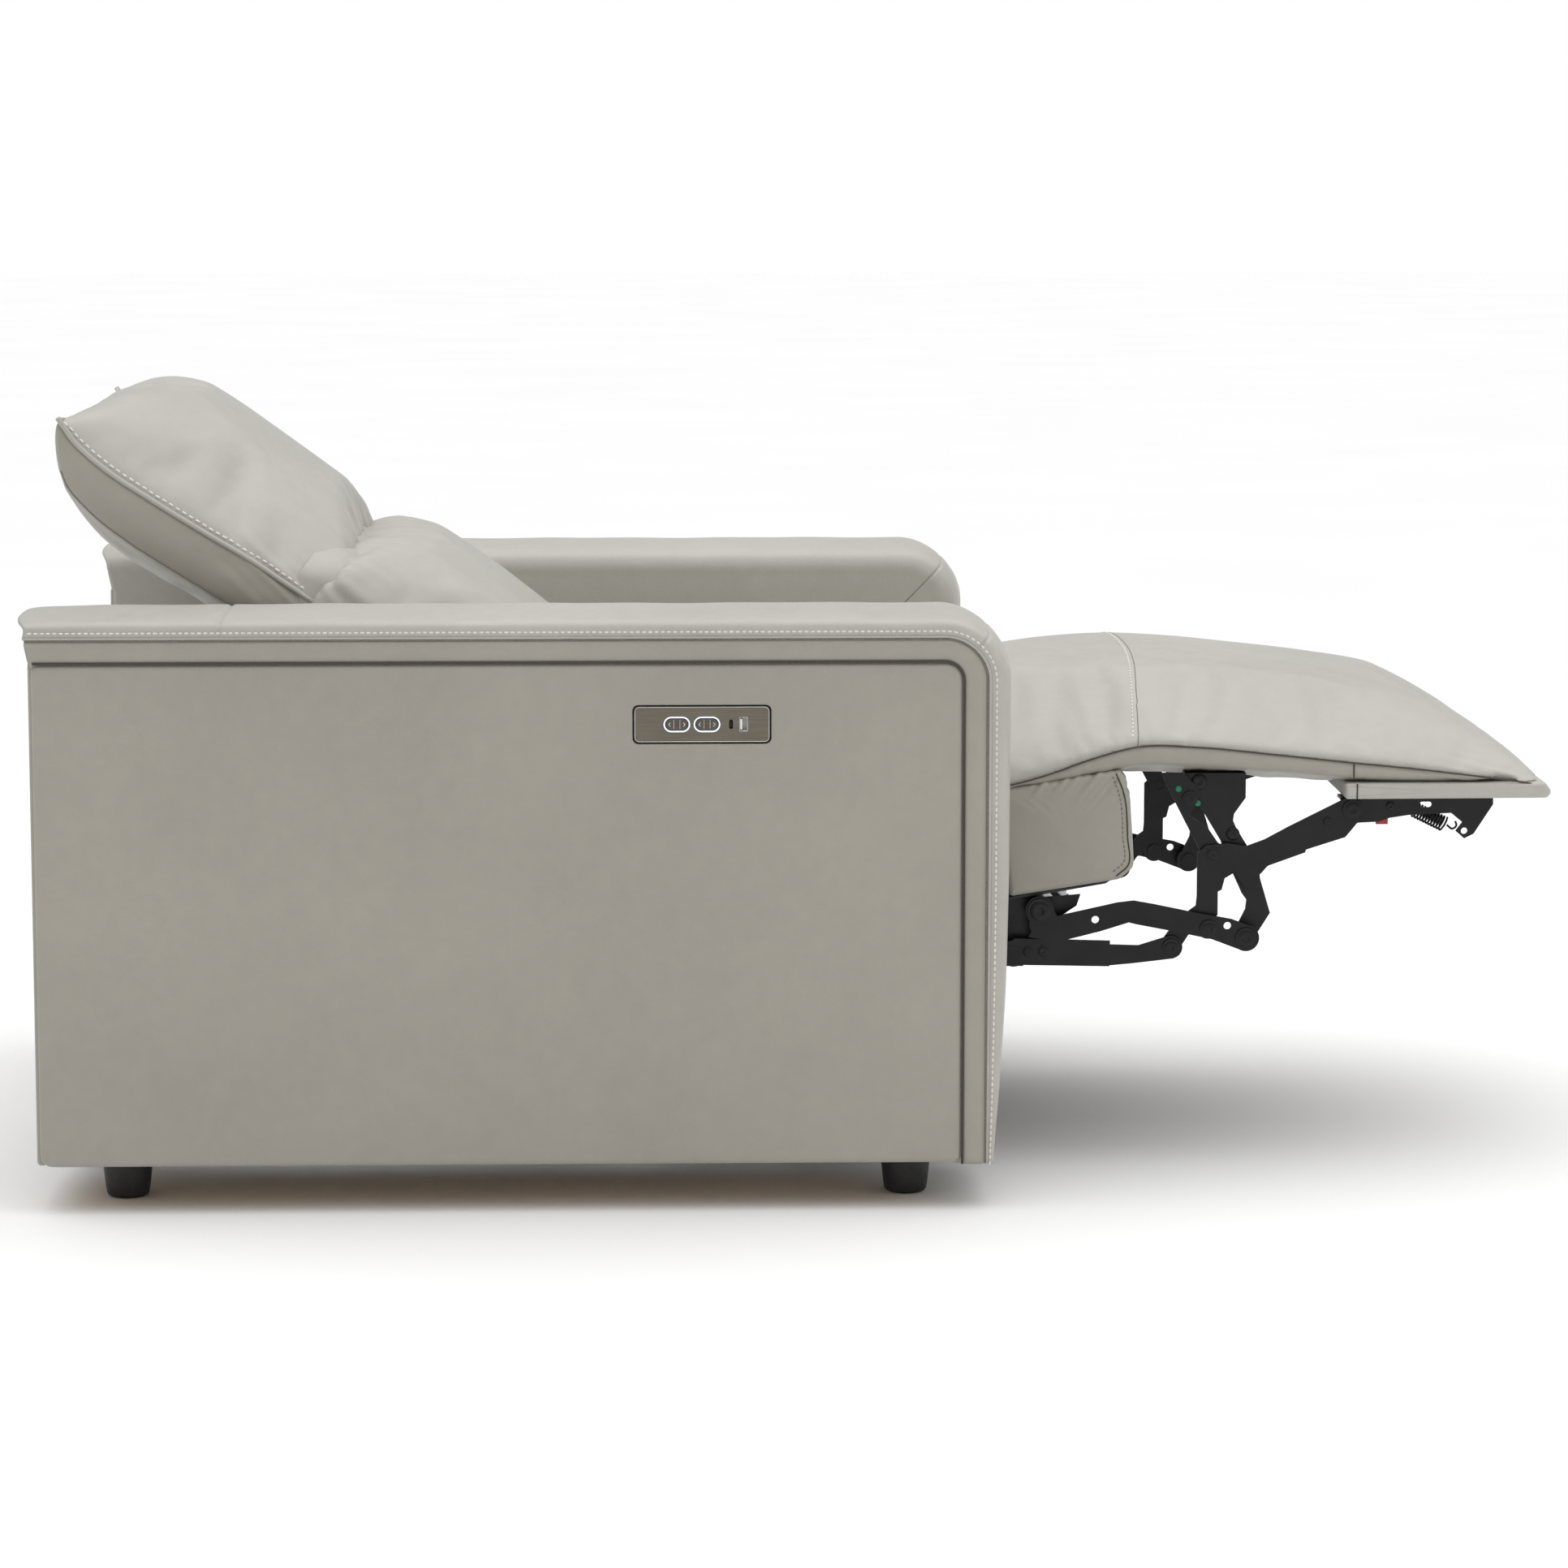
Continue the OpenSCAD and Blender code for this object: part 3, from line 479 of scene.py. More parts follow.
def near(points, path, reach):
    """How near each point is to a path: 1 on it, falling smoothly to 0 at the reach."""
    points, path = np.asarray(points, np.float32), np.asarray(path, np.float32)
    best = np.full(len(points), 1e9, np.float32)
    for k in range(0, len(path), 64):
        gap = ((points[:, None] - path[None, k : k + 64]) ** 2).sum(-1).min(1)
        best = np.minimum(best, gap)
    t = np.clip(1 - np.sqrt(best) / reach, 0, 1)
    return t * t * (3 - 2 * t)


def spots_of(obj, attribute="co"):
    """An object's points, or with normal their normals, as an array."""
    values = np.zeros(len(obj.data.vertices) * 3, np.float32)
    obj.data.vertices.foreach_get(attribute, values)
    return values.reshape(-1, 3).astype(float)


def move(obj, co):
    """Puts an array of points back into an object."""
    obj.data.vertices.foreach_set("co", np.asarray(co, np.float32).ravel())
    obj.data.update()


def groove(obj, path, width, depth):
    """Draws the surface in along a seam: each point goes in along its normal by the depth, fading with
    distance."""
    co = spots_of(obj)
    move(obj, co - spots_of(obj, "normal") * (near(co, path, width) * depth)[:, None])


def ripple(obj, path, reach, height, wave, seed, way):
    """Creases that fan from a seam: a sum of three waves along one direction, strongest at the seam."""
    co = spots_of(obj)
    random = np.random.default_rng(seed)
    place = co @ np.asarray(way, float)
    lengths = (wave, wave * 0.61, wave * 1.73)
    crease = sum(np.sin(place / length * 2 * math.pi + random.uniform(0, 6.3)) for length in lengths) / 3
    move(obj, co + spots_of(obj, "normal") * (near(co, path, reach) * crease * height)[:, None])


def snap(rows, obj, lift=0.0002):
    """Moves each row of points onto the nearest place of a piece, a little proud of it, and takes its
    normals there."""
    tree = BVHTree.FromObject(obj, bpy.context.evaluated_depsgraph_get())
    for k, (path, _) in enumerate(rows):
        hits = [tree.find_nearest(p) for p in path]
        at = np.array([h[0] for h in hits])
        no = np.array([h[1] for h in hits])
        rows[k] = (at + no * lift, no)


def apply_modifiers(obj):
    """Bakes an object's modifiers into its mesh."""
    graph = bpy.context.evaluated_depsgraph_get()
    final = obj.evaluated_get(graph)
    mesh = bpy.data.meshes.new_from_object(final, preserve_all_data_layers=True, depsgraph=graph)
    obj.modifiers.clear()
    obj.data = mesh


CLOTH_FRAMES = 20
CLOTH_SETTINGS = {
    "quality": 5, "mass": 0.4, "tension_stiffness": 15, "compression_stiffness": 15, "shear_stiffness": 10,
    "bending_stiffness": 0.8, "use_pressure": True, "uniform_pressure_force": 3.0,
    "vertex_group_mass": "seams",
}
SEAM_GRIP = 0.014


def swell(obj, held, cap, loose, voxel, ease):
    """Pads a piece by cloth simulation: the leather is pressed out from inside, held along its seams,
    and no point moves further than the cap."""
    remesh = obj.modifiers.new("even mesh", "REMESH")
    remesh.mode, remesh.voxel_size, remesh.use_smooth_shade = "VOXEL", voxel, True
    apply_modifiers(obj)
    start = spots_of(obj)
    grip = np.zeros(len(start))
    for path in held:
        grip = np.maximum(grip, near(start, path, SEAM_GRIP))
    group = obj.vertex_groups.new(name="seams")
    for weight in (0.25, 0.5, 0.75, 1.0):
        chosen = np.nonzero((grip > weight - 0.25) & (grip <= weight))[0]
        if len(chosen):
            group.add(chosen.tolist(), weight, "REPLACE")
    cloth = obj.modifiers.new("leather", "CLOTH")
    for key, value in CLOTH_SETTINGS.items():
        setattr(cloth.settings, key, value)
    cloth.settings.shrink_min = loose
    cloth.settings.effector_weights.gravity = 0
    cloth.point_cache.frame_start, cloth.point_cache.frame_end = 1, CLOTH_FRAMES
    scene = bpy.context.scene
    for step in range(1, CLOTH_FRAMES + 1):
        scene.frame_set(step)
    apply_modifiers(obj)
    scene.frame_set(1)
    shift = spots_of(obj) - start
    far = np.linalg.norm(shift, axis=1)
    move(obj, start + shift * np.minimum(1, cap / np.maximum(far, 1e-9))[:, None])
    obj.vertex_groups.clear()
    smooth = obj.modifiers.new("ease", "SMOOTH")
    smooth.factor, smooth.iterations = 0.5, ease
    finer = obj.modifiers.new("finer", "SUBSURF")
    finer.levels = finer.render_levels = 1
    apply_modifiers(obj)
    obj.data.shade_smooth()


def paint_shade_on_lower_side(obj, pad):
    """Paints shade on a pad's sides and underside: every face below the line of its side seam takes the side
    leather, the same leather darkened as painted shade.
    """
    obj.data.materials.append(FINISH["painted_shade_side_leather"])
    spot = np.zeros(len(obj.data.polygons) * 3, np.float32)
    obj.data.polygons.foreach_get("center", spot)
    spot = (spot.reshape(-1, 3) - pad.lie.origin) / MM
    a, b = spot @ pad.lie.along, spot @ pad.lie.out
    seam = along(pad.table, np.clip(a, pad.table[0][0], pad.table[-1][0]), 2)
    obj.data.polygons.foreach_set("material_index", (b < seam).astype(np.int32))


# ---- Finishes ----


class Paint:
    """A node material, with short ways to add and join nodes."""

    def __init__(self, name):
        self.material = bpy.data.materials.new(name)
        self.material.use_nodes = True
        self.tree = self.material.node_tree
        self.shader = self.tree.nodes["Principled BSDF"]

    def node(self, kind, settings=None, **inputs):
        n = self.tree.nodes.new(kind)
        for key, value in (settings or {}).items():
            setattr(n, key, value)
        for key, value in inputs.items():
            self.put(n.inputs[key.replace("_", " ")], value)
        return n

    def put(self, socket, value):
        if isinstance(value, bpy.types.NodeSocket):
            self.tree.links.new(value, socket)
        else:
            socket.default_value = value

    def place(self, scale):
        spot = self.node("ShaderNodeTexCoord")
        turn = self.node("ShaderNodeMapping", Vector=spot.outputs["Object"])
        turn.inputs["Scale"].default_value = scale
        return turn.outputs["Vector"]

    def noise(self, scale, detail=3.0, stretch=(1, 1, 1)):
        n = self.node("ShaderNodeTexNoise", Vector=self.place(stretch), Scale=scale, Detail=detail)
        return n.outputs["Fac"]

    def sums(self, a, b, kind="ADD"):
        n = self.node("ShaderNodeMath", {"operation": kind})
        self.put(n.inputs[0], a)
        self.put(n.inputs[1], b)
        return n.outputs[0]

    def tones(self, value, low, high, at=(0.3, 0.7)):
        ramp = self.node("ShaderNodeValToRGB", Fac=value)
        ramp.color_ramp.elements[0].position, ramp.color_ramp.elements[1].position = at
        ramp.color_ramp.elements[0].color = (*low, 1)
        ramp.color_ramp.elements[1].color = (*high, 1)
        return ramp.outputs["Color"]

    def band(self, value, low, high):
        span = self.node("ShaderNodeMapRange", Value=value)
        span.inputs["From Min"].default_value, span.inputs["From Max"].default_value = 0.3, 0.7
        span.inputs["To Min"].default_value, span.inputs["To Max"].default_value = low, high
        return span.outputs["Result"]

    def finish(self, colour, roughness, height=None, distance=0.001, strength=0.5, **fixed):
        self.put(self.shader.inputs["Base Color"], colour)
        self.put(self.shader.inputs["Roughness"], roughness)
        for key, value in fixed.items():
            self.shader.inputs[key.replace("_", " ")].default_value = value
        if height is not None:
            bump = self.node("ShaderNodeBump", Height=height, Distance=distance, Strength=strength)
            self.put(self.shader.inputs["Normal"], bump.outputs["Normal"])
        return self.material


def shade(colour, k):
    """A colour made lighter or darker."""
    return tuple(min(1.0, c * k) for c in colour)


def leather_finish(name, colour, grain=1.0):
    """Pebbled leather: small cells and finer wrinkles in the bump, soft drifts of tone, and patches that
    are glossier."""
    p = Paint(name)
    pebbles = p.node("ShaderNodeTexVoronoi", Vector=p.place((1, 1, 1)), Scale=720.0).outputs["Distance"]
    wrinkles = p.noise(210.0, 5.0)
    height = p.sums(p.sums(pebbles, 0.55, "MULTIPLY"), wrinkles)
    drift = p.noise(4.5, 3.0)
    mottle = p.noise(60.0, 4.0)
    tone = p.sums(p.sums(drift, 0.7, "MULTIPLY"), p.sums(mottle, 0.3, "MULTIPLY"))
    colours = p.tones(tone, shade(colour, 0.94), shade(colour, 1.05), (0.35, 0.65))
    return p.finish(
        colours, p.band(p.noise(30.0, 4.0), 0.40, 0.54), height, 0.00035 * grain, 0.55,
        Specular_IOR_Level=0.42, Sheen_Weight=0.06, Coat_Weight=0.04, Coat_Roughness=0.4)


def plain_finish(name, tone, low, high, rough, bump=None, depth=0.0, strength=0.5, **fixed):
    """Two tones in a noise, a roughness that is one value or a noise and its two limits, and a bump from
    a noise."""
    p = Paint(name)
    if isinstance(rough, tuple):
        rough = p.band(p.noise(*rough[0]), *rough[1])
    height = p.noise(*bump) if bump else None
    return p.finish(p.tones(p.noise(*tone), low, high), rough, height, depth, strength, **fixed)


def finishes(colours):
    """All the finishes, by name."""
    made = {
        "leather": leather_finish("grey_taupe_leather", tuple(colours.leather)),
        # The side leather is a darker copy of the same leather, painted shade for faces turned away from the
        # top light.
        "painted_shade_side_leather": leather_finish("painted_shade_panel_leather", tuple(colours.painted_shade_side_leather), 0.8),
    }
    # The seam finish is painted shade: a near-black line for the shadow in the seam grooves.
    for key, colour in (("seam", colours.seam), ("soft_seam_shade_and_thread", colours.soft_seam_shade_and_thread)):
        # The soft seam finish is lighter painted shade in the shallow creases, and the real thread colour of
        # the seat front box stitches.
        made[key] = plain_finish(key + "_painted_shade", (900.0,), shade(colour, 0.7), shade(colour, 1.4), 0.8,
                                 (1500.0,), 0.0002, 0.4)
    made["stitch"] = plain_finish(
        "pale_painted_shade", (700.0,), shade(colours.stitch, 0.85), shade(colours.stitch, 1.1), 0.62,
        (2400.0, 2.0), 0.00015, 0.5, Sheen_Weight=0.2)
    made["steel"] = plain_finish(
        "black_painted_steel", (14.0, 5.0), shade(colours.steel, 0.75), shade(colours.steel, 1.7),
        ((45.0, 5.0), (0.3, 0.46)), (650.0, 4.0), 0.00012, 0.35,
        Specular_IOR_Level=0.26, Coat_Weight=0.08, Coat_Roughness=0.28)
    made["grey_steel"] = plain_finish(
        "grey_steel", (20.0, 5.0), (0.16, 0.165, 0.17), (0.26, 0.265, 0.27),
        ((60.0, 4.0), (0.35, 0.5)), (500.0,), 0.0001, 0.3, Metallic=0.9)
    made["bright_steel"] = plain_finish(
        "bright_steel", (26.0, 5.0), (0.5, 0.5, 0.51), (0.66, 0.66, 0.67),
        ((80.0, 4.0), (0.22, 0.36)), (700.0,), 0.00008, 0.3, Metallic=1.0)
    brushed = (900.0, 3.0, (0.03, 1, 1))
    for key, colour in (("plate", tuple(colours.plate)), ("rocker", shade(colours.plate, 0.72))):
        made[key] = plain_finish(
            "bronze_" + key, brushed, shade(colour, 0.86), shade(colour, 1.16),
            ((120.0, 3.0, (0.1, 1, 1)), (0.3, 0.4)), brushed, 0.00005, 0.25, Metallic=0.85)
    made["glow"] = plain_finish(
        "switch_light", (300.0,), shade(colours.glow, 0.9), shade(colours.glow, 1.05), 0.3,
        Emission_Color=(*colours.glow, 1), Emission_Strength=0.35)
    for key, colour, gloss in (
        ("black_plastic", (0.012, 0.012, 0.013), 0.42), ("foot_plastic", (0.014, 0.014, 0.015), 0.5),
    ):
        made[key] = plain_finish(
            key, (90.0, 4.0), shade(colour, 0.8), shade(colour, 1.5),
            ((160.0, 4.0), (gloss - 0.06, gloss + 0.08)), (1100.0, 3.0), 0.0001, 0.4)
    made["white_plastic"] = plain_finish(
        "white_plastic", (200.0,), (0.72, 0.72, 0.7), (0.84, 0.84, 0.82), 0.3, (900.0,), 0.00005, 0.2)
    grain = (38.0, 6.0, (0.12, 1, 1))
    made["wood"] = plain_finish(
        "birch_board", grain, (0.36, 0.23, 0.12), (0.58, 0.42, 0.25),
        (grain, (0.55, 0.72)), grain, 0.0004, 0.4)
    made["rubber"] = plain_finish(
        "red_rubber", (120.0, 4.0), (0.32, 0.025, 0.02), (0.5, 0.05, 0.035), 0.6, (800.0,), 0.0002, 0.4)
    made["green"] = plain_finish(
        "green_paint_dab", (400.0, 4.0), (0.0, 0.12, 0.05), (0.0, 0.26, 0.11), 0.45, (600.0,), 0.0002, 0.4)
    p = Paint("elastic_webbing")
    weave = p.node("ShaderNodeTexWave", Vector=p.place((1, 1, 1)), Scale=140.0, Distortion=0.4).outputs["Fac"]
    tones = p.tones(weave, (0.02, 0.02, 0.022), (0.06, 0.06, 0.065))
    made["webbing"] = p.finish(tones, 0.85, weave, 0.0005, 0.6, Sheen_Weight=0.2)
    return made


FINISH = {}


# ---- Arms ----

CAP_PROFILE = (
    (9, -9), (3.6, -2.6), (0.6, 2.2), (-0.9, 8), (-1.1, 14), (0.2, 19.5), (3.4, 22.8), (4.2, 24.2),
    (1.6, 26.2), (-0.8, 29), (-1.8, 33), (-0.6, 37.8), (4.5, 41.2), (14, 43.2), (34, 45.4), (62, 47),
    (95, 47.6), (128, 46.8), (156, 44.8), (174, 41.4), (185, 35.4), (189.6, 27), (190.4, 12), (190.3, -30),
    (190.2, -80), (190, -116),
)
CAP_POINTS = 150
CAP_WIDTH = 190
CLOSE_POINTS = 12
SEAM_RISE = 23.5
STITCH_RISE = 31.0
CROSS_SEAM = 202
CORNER_R = 19
LEAST_CORNER_R = 14
FRONT_FULLNESS = 0.06
THIN_HEIGHTS = (50, 120, 220, 340, 430)
THIN_SHARES = (0.36, 0.62, 0.86, 1.0, 1.0)


def arm_path(rise, top_share, turn, front_share, set_back):
    """Side-view places at the given rises over the panel's edge: a straight run along the top, an arc
    round the front corner whose radius grows with the rise, and a straight run down the front, where the
    padding thins downwards."""
    radius = np.maximum(CORNER_R + rise, LEAST_CORNER_R)
    cx, cz = PANEL_FRONT + rise - radius, PANEL_TOP + rise - radius
    top_x = set_back + (cx - set_back) * top_share[:, None]
    top = np.stack([top_x, np.broadcast_to(PANEL_TOP + rise, top_x.shape)], -1)
    reach = 1 + FRONT_FULLNESS * np.clip(rise / 50, 0, 1) * np.sin(turn)[:, None] ** 2
    arc = np.stack([cx + radius * reach * np.sin(turn)[:, None], cz + radius * np.cos(turn)[:, None]], -1)
    z = cz + (FOOT_HEIGHT - 1 - cz) * front_share[:, None]
    thin = np.interp(z, THIN_HEIGHTS, THIN_SHARES)
    extra = np.clip(rise - SEAM_RISE - 1, 0, None)
    x = PANEL_FRONT + rise + radius * (reach[-1] - 1) - extra * (1 - thin) * 1.1
    return np.concatenate([top, arc, np.stack([x, z], -1)])


def cap_stations():
    """Shares along the three runs of the arm path, closer together where seams cross."""
    cross = (CROSS_SEAM + 2) / (PANEL_FRONT - CORNER_R)
    top = np.unique(np.r_[0, 0.004, 0.01, np.linspace(0.02, 1, 120), cross + np.linspace(-0.012, 0.012, 17)])
    turn = np.unique(np.r_[np.linspace(0, math.pi / 2, 40), math.pi / 4 + np.linspace(-0.09, 0.09, 19)])[1:]
    return top, turn, np.linspace(0, 1, 90)[1:]


def cap_sink(flat, y, rise, count, turn):
    """How far the cap is drawn in at each place: at its cross seam, mitre seam and rear tuck, and in soft
    waves."""
    padded = np.clip((rise - SEAM_RISE - 3) / 6, 0, 1)
    soft = np.maximum(padded, np.clip((y - 150) / 40, 0, 1))
    x = flat[..., 0]
    zone = (np.arange(len(flat)) < count)[:, None].astype(float)
    cut = np.exp(-(((x - CROSS_SEAM - 3 * np.sin(y / CAP_WIDTH * math.pi)) / 2.4) ** 2)) * zone
    droop = 2.2 * np.exp(-x / 90) * zone
    corner = np.zeros((len(flat), 1))
    corner[count : count + len(turn), 0] = np.exp(-(((turn - math.pi / 4) / 0.028) ** 2))
    tuck = np.exp(-((x + 1.5) / 7.0)) * zone * padded
    wave = 0.5 * np.sin(x / 61) * np.sin(x / 23 + 1) + 0.35 * np.sin(flat[..., 1] / 47)
    return (2.0 * cut + 1.9 * corner + droop) * soft + 2.2 * tuck + wave * soft


def arm_cap(side, name):
    """Padded roll over the top and front of an arm: the cap's profile carried along the arm path, with a
    cross seam near the rear, a mitre seam at the corner and a rolled tuck at the rear end."""
    profile = line(CAP_PROFILE, CAP_POINTS)
    y, rise = profile[:, 0], profile[:, 1]
    top, turn, front = cap_stations()
    crown = -1 + 10 * np.abs(y / 95 - 1) ** 4
    low = np.where(rise > -1, 10 + 4 * np.clip((20 - rise) / 20, 0, 1), PANEL_SET_BACK)
    flat = arm_path(rise, top, turn, front, np.where(rise > 24, crown, low))
    sink = cap_sink(flat, y, rise, len(top), turn)
    d_y, d_r = np.gradient(y), np.gradient(rise)
    size = np.hypot(d_y, d_r)
    way = np.concatenate([np.tile([[0.0, 1.0]], (len(top), 1)), np.stack([np.sin(turn), np.cos(turn)], 1),
                          np.tile([[1.0, 0.0]], (len(front), 1))])
    flat = flat - (sink * d_y / size)[..., None] * way[:, None]
    across = y[None] + sink * d_r / size
    share = np.linspace(0, 1, CLOSE_POINTS + 2)[1:-1]
    close = flat[:, -1:, :] + (flat[:, :1, :] - flat[:, -1:, :]) * share[None, :, None]
    close_y = y[-1] + (y[0] - y[-1]) * share
    flat = np.concatenate([flat, close], 1)
    across = np.concatenate([across, np.broadcast_to(close_y, (len(flat), CLOSE_POINTS))], 1)
    spots = SIDE.place(flat[..., 0], side * (HALF_WIDTH - across), flat[..., 1])
    heart = spots[0].mean(0) + np.array([0.004, 0, 0.0])
    start = [heart + (spots[0] - heart) * k for k in (0.3, 0.7, 0.93)]
    start[2][:, 0] = np.minimum(start[2][:, 0], spots[0][:, 0] - 0.0006)
    end = [shrunk(spots[-1], k) for k in (0.95, 0.6, 0.2)]
    cap = skin(name, np.concatenate([start, spots, end]), FINISH["leather"])
    # The cap's low band below the welt takes the side leather: painted shade on the arm's side.
    cap.data.materials.append(FINISH["painted_shade_side_leather"])
    ring = spots.shape[1]
    band = np.arange(len(cap.data.polygons))
    walls = (len(spots) + len(start) + len(end) - 1) * ring
    painted_shade_band = (band % ring < np.argmax(rise > SEAM_RISE)) & (band < walls)
    cap.data.polygons.foreach_set("material_index", painted_shade_band.astype(np.int32))
    return cap


def cap_line(side, y, rise, lift, first):
    """A line along the arm cap at one place of its profile."""
    flat = arm_path(np.array([rise]), *cap_stations(), np.array([first]))[:, 0]
    return SIDE.place(flat[:, 0], side * (HALF_WIDTH - y + lift), flat[:, 1])


def panel_loop(x0, x1, z0, z1, radii, count):
    return outline([(x0, z0), (x1, z0), (x1, z1), (x0, z1)], radii, count)


class RECLINER_OT_arms(bpy.types.Operator):
    """Both arms: padded caps, flat outer panels, inner panels and rear covers in the side leather darkened as
    painted shade, welts, seams drawn as dark tubes of painted shade, and topstitching
    """

    bl_idname = "recliner.arms"
    bl_label = "Arms"

    def execute(self, context):
        sizes = context.scene.recliner_sizes
        centre, half = side_rectangle("control_plate")
        plate_hole = (centre, (half[0] + 1.6, half[1] + 1.6), 6.0)
        # cover is the side leather, darkened as painted shade for the arm panels.
        cover = FINISH["painted_shade_side_leather"]
        for side, label in SIDES:
            def mirrored(a, b, depth, side=side):
                return SIDE.place(a, side * depth, b)

            def upright(a, b, depth, side=side):
                return SIDE.place(depth, side * a, b)

            mount(arm_cap(side, label + "_arm_cap"), "base", "leather_top", label + "_arm_pad", fill=0.85)
            low, top = FOOT_HEIGHT, PANEL_TOP
            loop = panel_loop(PANEL_SET_BACK, PANEL_FRONT, low, top - 0.5, (13, 8, CORNER_R, 8), 560)
            hole = plate_hole if side < 0 else None
            outer = block(label + "_outer_side", loop, HALF_WIDTH - 0.4, HALF_WIDTH - 18, cover, 5, 0,
                          mirrored, hole)
            mount(outer, "base", "leather_side", label + "_outer_panel", fill=0.95)
            loop = panel_loop(PANEL_SET_BACK + 4, PANEL_FRONT - 40, low, top - 118, (6, 6, 12, 6), 300)
            inner = block(label + "_inner_side", loop, side * INNER_Y, side * (INNER_Y + 17), cover, 5, 0)
            mount(inner, "base", "leather_side", label + "_inner_panel", fill=0.95)
            loop = panel_loop(INNER_Y + 3, HALF_WIDTH - 8, low, top + 2, (5, 5, 5, 5), 240)
            rear = block(label + "_arm_rear", loop, PANEL_SET_BACK - 4, PANEL_SET_BACK + 6, cover, 4, 1.5,
                         upright)
            mount(rear, "base", "leather_side", fill=0.9)
            out = np.array([0, side, 0.0])
            for name, place, radius, finish in (
                ("_arm_welt", (2.2, 25.6, 0.2, 9), sizes.welt_radius, "leather"),
                # The welt seam is a tube of painted crease shade under the welt.
                ("_arm_welt_crease_shade", (3.3, 22.9, 1.1, 11), 0.0009, "soft_seam_shade_and_thread"),
                # The panel seam is a near-black tube of painted shade in the groove at the panel's edge.
                ("_panel_seam_shade", (0.2, 0.4, 0.2, PANEL_SET_BACK + 2), 0.0013, "seam"),
            ):
                edge = tube(label + name, cap_line(side, *place), radius, FINISH[finish], out)
                mount(edge, "base", "leather_top")
            rows = [(cap_line(side, -1.7, STITCH_RISE, 0.15, 13), out)]
            mount(stitches(label + "_arm_stitches", rows, FINISH["stitch"], sizes), "base", "leather_top")
        return {"FINISHED"}


# ---- Control panel ----


def rounded_ring(centre, half, radius, y):
    """A rounded rectangle in an upright plane at one distance across the chair."""
    (x, z), (w, h) = centre, half
    loop = panel_loop(x - w, x + w, z - h, z + h, [radius] * 4, LINE_POINTS)
    return SIDE.place(loop[:, 0], y, loop[:, 1])


class RECLINER_OT_control_panel(bpy.types.Operator):
    """The control plate's lip and gasket, the raised arrow marks on the two rockers, and two raised lines on
    each rocker in bright steel that paint the highlight along its ridge
    """

    bl_idname = "recliner.control_panel"
    bl_label = "Control panel"

    def execute(self, context):
        out = (0, -1, 0)
        centre, half = side_rectangle("control_plate")
        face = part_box("control_plate")[0].y / MM
        for name, grow, corner, lift, radius, finish, slot in (
            ("plate_lip", -0.7, 4.6, -0.1, 0.00045, "bright_steel", "plate_metal"),
            ("plate_gasket", 0.2, 5.2, 0.5, 0.0007, "black_plastic", "housing_plastic"),
        ):
            path = rounded_ring(centre, (half[0] + grow, half[1] + grow), corner, face + lift)
            mount(tube(name, path, radius, FINISH[finish], out, True), "base", slot)
        for node in ("recline_rocker", "headrest_rocker"):
            (x, z), _ = side_rectangle(node)
            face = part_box(node)[0].y / MM - 0.05
            marks = [((x + way * 8.3, z), (x + way * 6.3, z + rise))
                     for way in (-1, 1) for rise in (-1.9, 1.9)]
            arrows = len(marks)
            # The two raised lines on each rocker take bright steel as a painted highlight along its ridge;
            # the arrows are white marks.
            marks += [((x + way * 3.1, z - 4.6), (x + way * 3.1, z + 4.6)) for way in (-1, 1)]
            for k, (a, b) in enumerate(marks):
                path = SIDE.place(np.linspace(a[0], b[0], 5), face, np.linspace(a[1], b[1], 5))
                finish = FINISH["white_plastic" if k < arrows else "bright_steel"]
                mark = tube(f"{node}_mark_{k}", path, 0.00032, finish, out, sides=6)
                mount(mark, node + "_body", "rocker_metal")
        return {"FINISHED"}


# ---- Seat and footrest ----

SEAT_TABLE = (
    (652, 436, 352, 322, 0.985), (672, 448, 350, 300, 0.995), (760, 460, 362, 306, 1.0),
    (880, 480, 383, 327, 1.0), (960, 493, 397, 342, 1.0), (990, 498, 403, 390, 1.0),
    (1010, 501.5, 407, 402, 1.0), (1042, 506.5, 416, 406, 1.0),
    (1090, 511, 433, 416, 1.0), (1139, 512.5, 445.5, 424.8, 1.0), (1198, 510, 444.5, 423, 1.0),
    (1280, 502, 436.5, 417.5, 1.0), (1363, 492, 427.5, 410.5, 1.0), (1431, 480, 420.5, 408, 1.0),
    (1480, 464, 414.5, 407.5, 0.998), (1525, 440, 408.5, 406.5, 0.994), (1554, 419, 403.5, 403, 0.988),
    (1565.5, 407, 400, 399.5, 0.978),
)
SEAT = Pad(SEAT_TABLE, PAD_HALF - 0.5, SIDE, (3.0, 0.6))
SEAT_SEAM = (700, 1562)
CROSS_X = 1136
CROSS_BOW = 12
BLEND_START, BLEND_END, BLEND_HEIGHT = 1118, 1190, 440
FASCIA_LOOP = (
    (1003, 287), (1119, 305), (1134, 318), (1132.5, 345), (1129, 395), (1121.5, 421), (1085, 415.5),
    (990, 399),
)
FASCIA_RADII = (6, 14, 12, 60, 40, 9, 30, 6)
FASCIA_EDGE = ((1114, 417), (1122, 396), (1126.5, 350), (1127, 320), (1115, 309))
FASCIA_ROW = ((1110, 415), (1117.5, 394), (1121.5, 350), (1122, 323), (1112, 314))
BASE_LOOP = ((1000, 281), (1105, 299), (1113, 304), (1106, 302), (1000, 285))
# Radius of the thin dark tubes of painted shade laid in the seams.
SEAM_SHADE_RADIUS = 0.0008


def blended(obj):
    """Bakes a seat piece's placement into its mesh."""
    start, end = (tuple(SIDE.place(a, 0, BLEND_HEIGHT)) for a in (BLEND_START, BLEND_END))
    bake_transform(obj)


